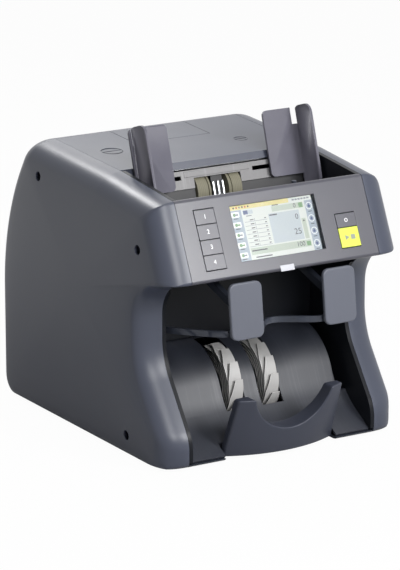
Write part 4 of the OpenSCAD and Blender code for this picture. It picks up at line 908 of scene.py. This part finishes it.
class COUNTER_OT_screen(bpy.types.Operator):
    """Builds the lit screen behind the window"""

    bl_idname = "counter.screen"
    bl_label = "Screen"

    def execute(self, context):
        low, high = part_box("display_module")
        palette = {"body": FINISH["screen"]}
        for shade, (tone, level) in SHADES.items():
            palette[shade] = lit("Screen " + shade, tint(*tone), level)
        tiles = Tiles(high.x - low.x, SCREEN_HEIGHT, palette)
        tiles.tile(0.0, 0.0, 1.0, 1.0, 1, "body")
        tiles.tile(0.025, 0.045, 0.955, 0.955, 2, "paper")
        for draw in (self.header, self.left_column, self.right_column, self.table, self.totals):
            draw(tiles)
        place_on_panel(tiles.bm, "display_module", MODULE_HALF - SCREEN_SINK)
        mesh = mesh_from(tiles.bm, "screen", 30.0)
        link_piece("screen_face", mesh, tiles.materials, "counter", ["display_module"])
        return {"FINISHED"}

    def header(self, tiles):
        tiles.tile(0.025, 0.045, 0.70, 0.115, 3, "header")
        for k, shade in enumerate(("ink", "red", "line", "ink", "red", "ink")):
            tiles.disc(0.09 + 0.032 * k, 0.08, 0.0009, 4, shade, 16)
        for k in range(6):
            tiles.tile(0.74 + 0.033 * k, 0.07, 0.765 + 0.033 * k, 0.095, 4, "line")

    def left_column(self, tiles):
        tiles.tile(0.025, 0.12, 0.165, 0.955, 3, "column")
        for k in range(5):
            v = 0.2 + 0.165 * k
            tiles.tile(0.05, v - 0.055, 0.14, v + 0.035, 4, "white", 0.0012)
            tiles.disc(0.085, v - 0.01, 0.0017, 5, "deep green")
            tiles.tile(0.09, v - 0.02, 0.128, v + 0.005, 6, "deep green" if k % 2 else "line", 0.0005)
            tiles.tile(0.07, v + 0.048, 0.12, v + 0.06, 4, "ink")

    def right_column(self, tiles):
        tiles.tile(0.87, 0.12, 0.955, 0.955, 3, "column")
        for k in range(4):
            v = 0.215 + 0.205 * k
            tiles.disc(0.9125, v, 0.0036, 4, "white")
            tiles.disc(0.9125, v, 0.0029, 5, "column")
            tiles.disc(0.9125, v + 0.005, 0.0015, 6, "blue")
            tiles.tile(0.908, v - 0.038, 0.917, v + 0.005, 6, "blue")
            tiles.tile(0.893, v + 0.085, 0.932, v + 0.097, 4, "ink")

    def table(self, tiles):
        tiles.tile(0.185, 0.14, 0.235, 0.205, 4, "blue")
        tiles.tile(0.235, 0.14, 0.29, 0.205, 4, "field")
        tiles.tile(0.21, 0.225, 0.27, 0.24, 4, "line")
        for k in range(7):
            v = 0.275 + 0.067 * k
            tiles.tile(0.18, v + 0.05, 0.43, v + 0.056, 4, "line")
            tiles.tile(0.29, v + 0.006, 0.294, v + 0.05, 4, "line")
            tiles.tile(0.24, v + 0.018, 0.28, v + 0.034, 4, "ink")
            tiles.tile(0.40, v + 0.018, 0.42, v + 0.034, 4, "ink")

    def totals(self, tiles):
        for row in TOTAL_TILES:
            tiles.tile(*row)
        for row in TOTAL_FIGURES:
            tiles.figures(*row, 5, "ink")
        tiles.disc(0.8225, 0.44, 0.0009, 4, "ink", 16)


class COUNTER_OT_keys(bpy.types.Operator):
    """Rounds the keys and prints plain marks on them"""

    bl_idname = "counter.keys"
    bl_label = "Keys"

    def execute(self, context):
        edge = context.scene.counter_sizes.small_edge
        for k in range(1, 5):
            self.key(f"function_key_{k}", edge, "legend",
                     lambda tiles, ink: tiles.figures(str(k), 0.5, 0.5, DIGIT_SIZE, 5, ink))
        self.key("clear_key", edge, "legend", self.ring_mark)
        self.key("start_key", edge, "start_legend", self.start_mark)
        dress("panel_tab", edge, finish="tab")
        return {"FINISHED"}

    def key(self, node, edge, ink, draw):
        dress(node, edge)
        tiles = Tiles(*KEY_SIZE, FINISH)
        draw(tiles, ink)
        place_on_panel(tiles.bm, node, KEY_HALF)
        mesh = mesh_from(tiles.bm, node + "_mark", 30.0)
        link_piece(node + "_mark", mesh, tiles.materials, node)

    def ring_mark(self, tiles, ink):
        """A small open ring."""
        inner, outer = 0.0013, 0.0019
        section = [(inner, 0, 0), (outer, 0, 0), (outer, 0, MARK_HEIGHT), (inner, 0, MARK_HEIGHT)]
        spun(tiles.bm, section, (0, 0, 0), (0, 0, 1), 32)
        bmesh.ops.recalc_face_normals(tiles.bm, faces=tiles.bm.faces)
        tiles.paint((), ink)

    def start_mark(self, tiles, ink):
        """A triangle beside a square."""
        turn = Matrix.Translation((-0.0035, 0, MARK_HEIGHT / 2)) @ Matrix.Rotation(-math.pi / 2, 4, "Z")
        bmesh.ops.create_cone(tiles.bm, cap_ends=True, segments=3, radius1=0.003, radius2=0.003,
                              depth=MARK_HEIGHT, matrix=turn)
        add_box(tiles.bm, Vector((0.0015, -0.0024, 0.0)), Vector((0.0063, 0.0024, MARK_HEIGHT)))
        tiles.paint((), ink)


# Front stopper: half widths, heights and lean, in millimetres and degrees
STOPPER_HALF = (64.0, 60.5)
STOPPER_HEIGHT = (2.0, 65.5)
STOPPER_HOLLOW = (45.0, 29.5)
STOPPER_FRONT = -194.0
STOPPER_REAR = -172.4
STOPPER_BOW = 15.0
STOPPER_LEAN = (20.5, 20.0)
STOPPER_SLAB = 12.0
STOPPER_CUTS = [x + 0.37 for x in range(-60, 61, 4)]


def stopper_front(x, z):
    """How far forward the bowed, leaning face lies."""
    half = STOPPER_HALF[0]
    radius = (half * half + STOPPER_BOW * STOPPER_BOW) / (2 * STOPPER_BOW)
    lean = math.radians(STOPPER_LEAN[0])
    return STOPPER_FRONT + (radius - math.sqrt(radius * radius - x * x)) / math.cos(lean) - z * math.tan(lean)


def stopper_outline(steps=28):
    """Front view of the stopper: two horns with a round hollow between them."""
    (foot, horn), (low, high), (radius, dip) = STOPPER_HALF, STOPPER_HEIGHT, STOPPER_HOLLOW
    reach = math.acos((dip + radius - high) / radius)
    hollow = [(radius * math.sin(a), dip + radius - radius * math.cos(a))
              for a in (reach - 2 * reach * k / steps for k in range(steps + 1))]
    return [(-foot, low), (foot, low), (horn, high), *hollow, (-horn, high)]


def stopper_mesh(edge):
    """The stopper as an even slab with rounded edges, then bent to its bowed and leaning faces."""
    depth = 2 * edge + STOPPER_SLAB
    bm = bmesh.new()
    loop = closed_loop(bm, [(x, 0.0, z) for x, z in stopper_outline()])[1]
    raise_faces(bm, bmesh.ops.edgeloop_fill(bm, edges=loop)["faces"], (0.0, depth, 0.0))
    bmesh.ops.recalc_face_normals(bm, faces=bm.faces)
    posts = [e for e in sharp_edges(bm, EDGE_ANGLE) if abs(e.verts[0].co.y - e.verts[1].co.y) > depth / 2]
    round_edges(bm, posts, edge, 5)
    brim = [e for e in sharp_edges(bm, 60.0) if max(v.co.y for v in e.verts) < depth / 2]
    round_edges(bm, brim, edge, 5)
    for x in STOPPER_CUTS:
        bmesh.ops.bisect_plane(bm, geom=everything(bm), dist=1e-4, plane_co=(x, 0, 0), plane_no=(1, 0, 0))
    slope = math.tan(math.radians(STOPPER_LEAN[1]))
    for v in bm.verts:
        front = stopper_front(v.co.x, v.co.z)
        rear = STOPPER_REAR - (v.co.z - STOPPER_HEIGHT[0]) * slope
        share = min(1.0, max(0.0, (v.co.y - edge) / (depth - 2 * edge)))
        v.co.y = front + v.co.y + (rear - front - depth) * share
    to_frame(bm)
    return mesh_from(bm, "front_stopper_body", 40.0)


# Stacker wheels: axle, radii, width, wall and tips of the vanes, in millimetres and degrees
WHEEL_AXLE = (-96.0, 47.0)
WHEEL_RADIUS = 43.0
WHEEL_HUB = 25.0
WHEEL_BORE = 3.05
WHEEL_WIDTH = 15.0
VANES = 14
VANE_ROOT = 24.2
VANE_SWEEP = math.radians(150.0)
VANE_WALL = 1.0
VANE_TIP = 9.0
VANE_TAPER = 3.0
TAPER_FROM = 0.77


def wheel_mesh(x, steps=24):
    """A stacker wheel: a hub with curved vanes that taper on their left towards a narrow tip."""
    axle = Vector((x, *WHEEL_AXLE))
    left, right = x - WHEEL_WIDTH / 2, x + WHEEL_WIDTH / 2
    bm = bmesh.new()
    spine = []
    for k in range(steps + 1):
        radius = VANE_ROOT + (WHEEL_RADIUS - VANE_ROOT) * k / steps
        angle = -VANE_SWEEP * k / steps
        across, up = radius * math.cos(angle), radius * math.sin(angle)
        spine.append(bm.verts.new((left, axle.y + across, axle.z + up)))
    lines = [bm.edges.new(pair) for pair in zip(spine, spine[1:])]
    tip = Vector((right - VANE_TIP, *spine[-1].co[1:]))
    along = unit(spine[-1].co - spine[-2].co)
    fresh = bmesh.ops.extrude_edge_only(bm, edges=lines)["geom"]
    bmesh.ops.translate(bm, verts=verts_of(fresh), vec=(WHEEL_WIDTH, 0, 0))
    outer = [f for f in bm.faces if (f.calc_center_median() - axle).length > WHEEL_RADIUS * TAPER_FROM]
    edges, verts = {e for f in outer for e in f.edges}, {v for f in outer for v in f.verts}
    bmesh.ops.bisect_plane(bm, geom=[*outer, *edges, *verts], dist=1e-4, plane_co=tip, clear_outer=True,
                           plane_no=along - Vector((VANE_TAPER, 0, 0)))
    face_away(bm, axle)
    bmesh.ops.solidify(bm, geom=bm.faces, thickness=VANE_WALL)
    bmesh.ops.spin(bm, geom=everything(bm), cent=axle, axis=(1, 0, 0), dvec=(0, 0, 0),
                   angle=2 * math.pi * (VANES - 1) / VANES, steps=VANES - 1, use_duplicate=True)
    spun_tube(bm, axle.y, axle.z, WHEEL_BORE, WHEEL_HUB, left, right, 64)
    bmesh.ops.recalc_face_normals(bm, faces=bm.faces)
    to_frame(bm)
    return mesh_from(bm, "stacker_wheel")


class COUNTER_OT_stacker(bpy.types.Operator):
    """Builds the stacker wheels and the front stopper and rounds the drum cover and the inner walls"""

    bl_idname = "counter.stacker"
    bl_label = "Stacker"

    def execute(self, context):
        sizes = context.scene.counter_sizes
        mesh = stopper_mesh(sizes.stopper_edge / MM)
        link_piece("front_stopper_body", mesh, [FINISH["stopper"]], "counter", ["front_stopper"])
        dress("stacker_cover", sizes.floor_edge, finish="drum")
        dress("base_tray", sizes.small_edge)
        for node in ("left_inner_wall", "right_inner_wall", "pocket_back_wall"):
            dress(node, sizes.small_edge, finish="pocket")
        for node in ("left_stacker_wheel", "right_stacker_wheel"):
            low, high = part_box(node)
            mesh = wheel_mesh((low.x + high.x) / 2 / MM)
            body, slot = NODES[node]["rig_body"], SLOT_OF[node]
            wheel = link_piece(node + "_vanes", mesh, [FINISH["vane"]], body, [node])
            # The sideways cut faces of the vanes take the darker finish, painted shade for their shadowed
            # sides
            second_finish(wheel, "vane_side", lambda polygon: abs(polygon.normal.x) > 0.7)
        return {"FINISHED"}


class COUNTER_OT_gate(bpy.types.Operator):
    """Rounds the paddles and the frame that carries them"""

    bl_idname = "counter.gate"
    bl_label = "Gate"

    def execute(self, context):
        sizes = context.scene.counter_sizes
        for node in ("left_paddle", "right_paddle"):
            dress(node, sizes.paddle_edge, segments=4, finish="paddle")
        dress("gate_frame", sizes.small_edge)
        return {"FINISHED"}


class COUNTER_OT_works(bpy.types.Operator):
    """Finishes every CAD node with its slot's material"""

    bl_idname = "counter.works"
    bl_label = "Works"

    def execute(self, context):
        for node in NODES:
            finish_node(node)
        return {"FINISHED"}


# Stage in metres: place and size of each lamp, the point they aim at, the floor and the camera
LAMPS = {
    "key": ((0.42, -1.18, 0.75), (0.36, 0.6)),
    "front": ((-0.25, -1.22, 0.9), (0.35, 0.7)),
    "top": ((0.1, -0.3, 1.75), (1.3, 1.1)),
    "edge": ((-0.1, 1.0, 1.27), (0.34, 0.34)),
    "back": ((0.34, 1.3, 0.98), (1.0, 0.5)),
}
LAMP_TARGET = Vector((0.0, -0.02, 0.16))
FLOOR_COLOUR = (0.6, 0.6, 0.6, 1.0)
FLOOR_ROUGHNESS = 0.8
# Distances from the middle over which the floor's white glow returns in reflections: painted shade for the
# counter's shadow as its lower sides reflect it
MIRROR_SHADE_RING = (0.35, 0.8)
CAMERA_PLACE = (-1.7363, -2.8437, 1.0602)
CAMERA_AIM = Vector((0.5023, 0.8223, -0.2672))
CAMERA_LENS = 214.3


class COUNTER_OT_stage(bpy.types.Operator):
    """Floor, lamps, world and camera"""

    bl_idname = "counter.stage"
    bl_label = "Stage"

    def execute(self, context):
        stage = context.scene.counter_stage
        self.floor(stage)
        self.world(context, stage)
        for name, (place, size) in LAMPS.items():
            self.lamp(name.capitalize() + " lamp", place, size, getattr(stage, name + "_power"))
        self.camera(context)
        context.scene.view_settings.view_transform = "Standard"
        return {"FINISHED"}

    def background_share(self, tree, mirror_share):
        """One for rays that should see a white background, zero for the rest."""
        path = tree.nodes.new("ShaderNodeLightPath")
        seen = math_node(tree, "MAXIMUM", path.outputs["Is Camera Ray"], path.outputs["Is Transmission Ray"])
        mirrored = times(tree, path.outputs["Is Glossy Ray"], mirror_share)
        return math_node(tree, "MAXIMUM", seen, mirrored)

    def away_from_middle(self, tree, near, far):
        """Zero close to the middle of the floor, rising to one; used as painted shade, so that reflections
        near the counter lose the floor's white glow.
        """
        distance = tree.nodes.new("ShaderNodeVectorMath")
        distance.operation = "LENGTH"
        feed(tree, distance, {0: object_place(tree)})
        return ramp(tree, distance.outputs["Value"], near, far)

    def floor(self, stage):
        bm = bmesh.new()
        bmesh.ops.create_grid(bm, x_segments=1, y_segments=1, size=stage.floor_reach)
        floor = new_object("floor", plain_mesh(bm, "floor"))
        material, tree, shader = start_material("Pale floor")
        feed(tree, shader, {"Base Color": FLOOR_COLOUR, "Roughness": FLOOR_ROUGHNESS})
        glow = tree.nodes.new("ShaderNodeEmission")
        mix = tree.nodes.new("ShaderNodeMixShader")
        # Glossy rays near the counter see the plainly lit floor instead of the white glow, a painted shade in
        # the reflections
        share = self.background_share(tree, self.away_from_middle(tree, *MIRROR_SHADE_RING))
        share = times(tree, share, stage.floor_glow)
        feed(tree, mix, {"Fac": share, 1: shader.outputs["BSDF"], 2: glow.outputs["Emission"]})
        feed(tree, tree.nodes["Material Output"], {"Surface": mix.outputs["Shader"]})
        floor.data.materials.append(material)

    def world(self, context, stage):
        world = bpy.data.worlds.new("Studio")
        world.use_nodes = True
        tree = world.node_tree
        spread = times(tree, self.background_share(tree, 1.0), 1.0 - stage.world_level)
        strength = math_node(tree, "ADD", spread, stage.world_level)
        feed(tree, tree.nodes["Background"], {"Color": (1.0, 1.0, 1.0, 1.0), "Strength": strength})
        context.scene.world = world

    def lamp(self, name, place, size, power):
        """An oval lamp aimed at the middle of the counter."""
        data = bpy.data.lights.new(name, "AREA")
        data.shape = "ELLIPSE"
        data.size, data.size_y = size
        data.energy = power
        lamp = new_object(name, data)
        lamp.location = place
        lamp.rotation_euler = (LAMP_TARGET - Vector(place)).to_track_quat("-Z", "Y").to_euler()

    def camera(self, context):
        data = bpy.data.cameras.new("Camera")
        data.lens = CAMERA_LENS
        camera = new_object("Camera", data)
        camera.location = CAMERA_PLACE
        camera.rotation_euler = CAMERA_AIM.to_track_quat("-Z", "Y").to_euler()
        context.scene.camera = camera


class COUNTER_PT_sidebar(bpy.types.Panel):
    """Lists the settings and the operators"""

    bl_label = "Banknote counter"
    bl_idname = "COUNTER_PT_sidebar"
    bl_space_type = "VIEW_3D"
    bl_region_type = "UI"
    bl_category = "Counter"

    def draw(self, context):
        for name in GROUPS:
            settings, box = getattr(context.scene, name), self.layout.box()
            for key in settings.bl_rna.properties.keys():
                if key not in ("name", "rna_type"):
                    box.prop(settings, key)
        for operator in OPERATORS:
            self.layout.operator(operator.bl_idname)


GROUPS = {"counter_sizes": CounterSizes, "counter_colours": CounterColours, "counter_stage": CounterStage}
OPERATORS = (COUNTER_OT_works, COUNTER_OT_side_covers, COUNTER_OT_casing, COUNTER_OT_hopper,
             COUNTER_OT_screen, COUNTER_OT_keys, COUNTER_OT_stacker, COUNTER_OT_gate, COUNTER_OT_stage)


def register():
    for cls in (*GROUPS.values(), *OPERATORS, COUNTER_PT_sidebar):
        bpy.utils.register_class(cls)
    for name, group in GROUPS.items():
        setattr(bpy.types.Scene, name, PointerProperty(type=group))


def unregister():
    for name in GROUPS:
        delattr(bpy.types.Scene, name)
    for cls in (COUNTER_PT_sidebar, *reversed(OPERATORS), *GROUPS.values()):
        bpy.utils.unregister_class(cls)


def main():
    register()
    FINISH.update(make_finishes(bpy.context.scene.counter_colours))
    bpy.ops.counter.works()
    bpy.ops.counter.side_covers()
    bpy.ops.counter.casing()
    bpy.ops.counter.hopper()
    bpy.ops.counter.screen()
    bpy.ops.counter.keys()
    bpy.ops.counter.stacker()
    bpy.ops.counter.gate()
    bpy.ops.counter.stage()


if __name__ == "__main__":
    main()
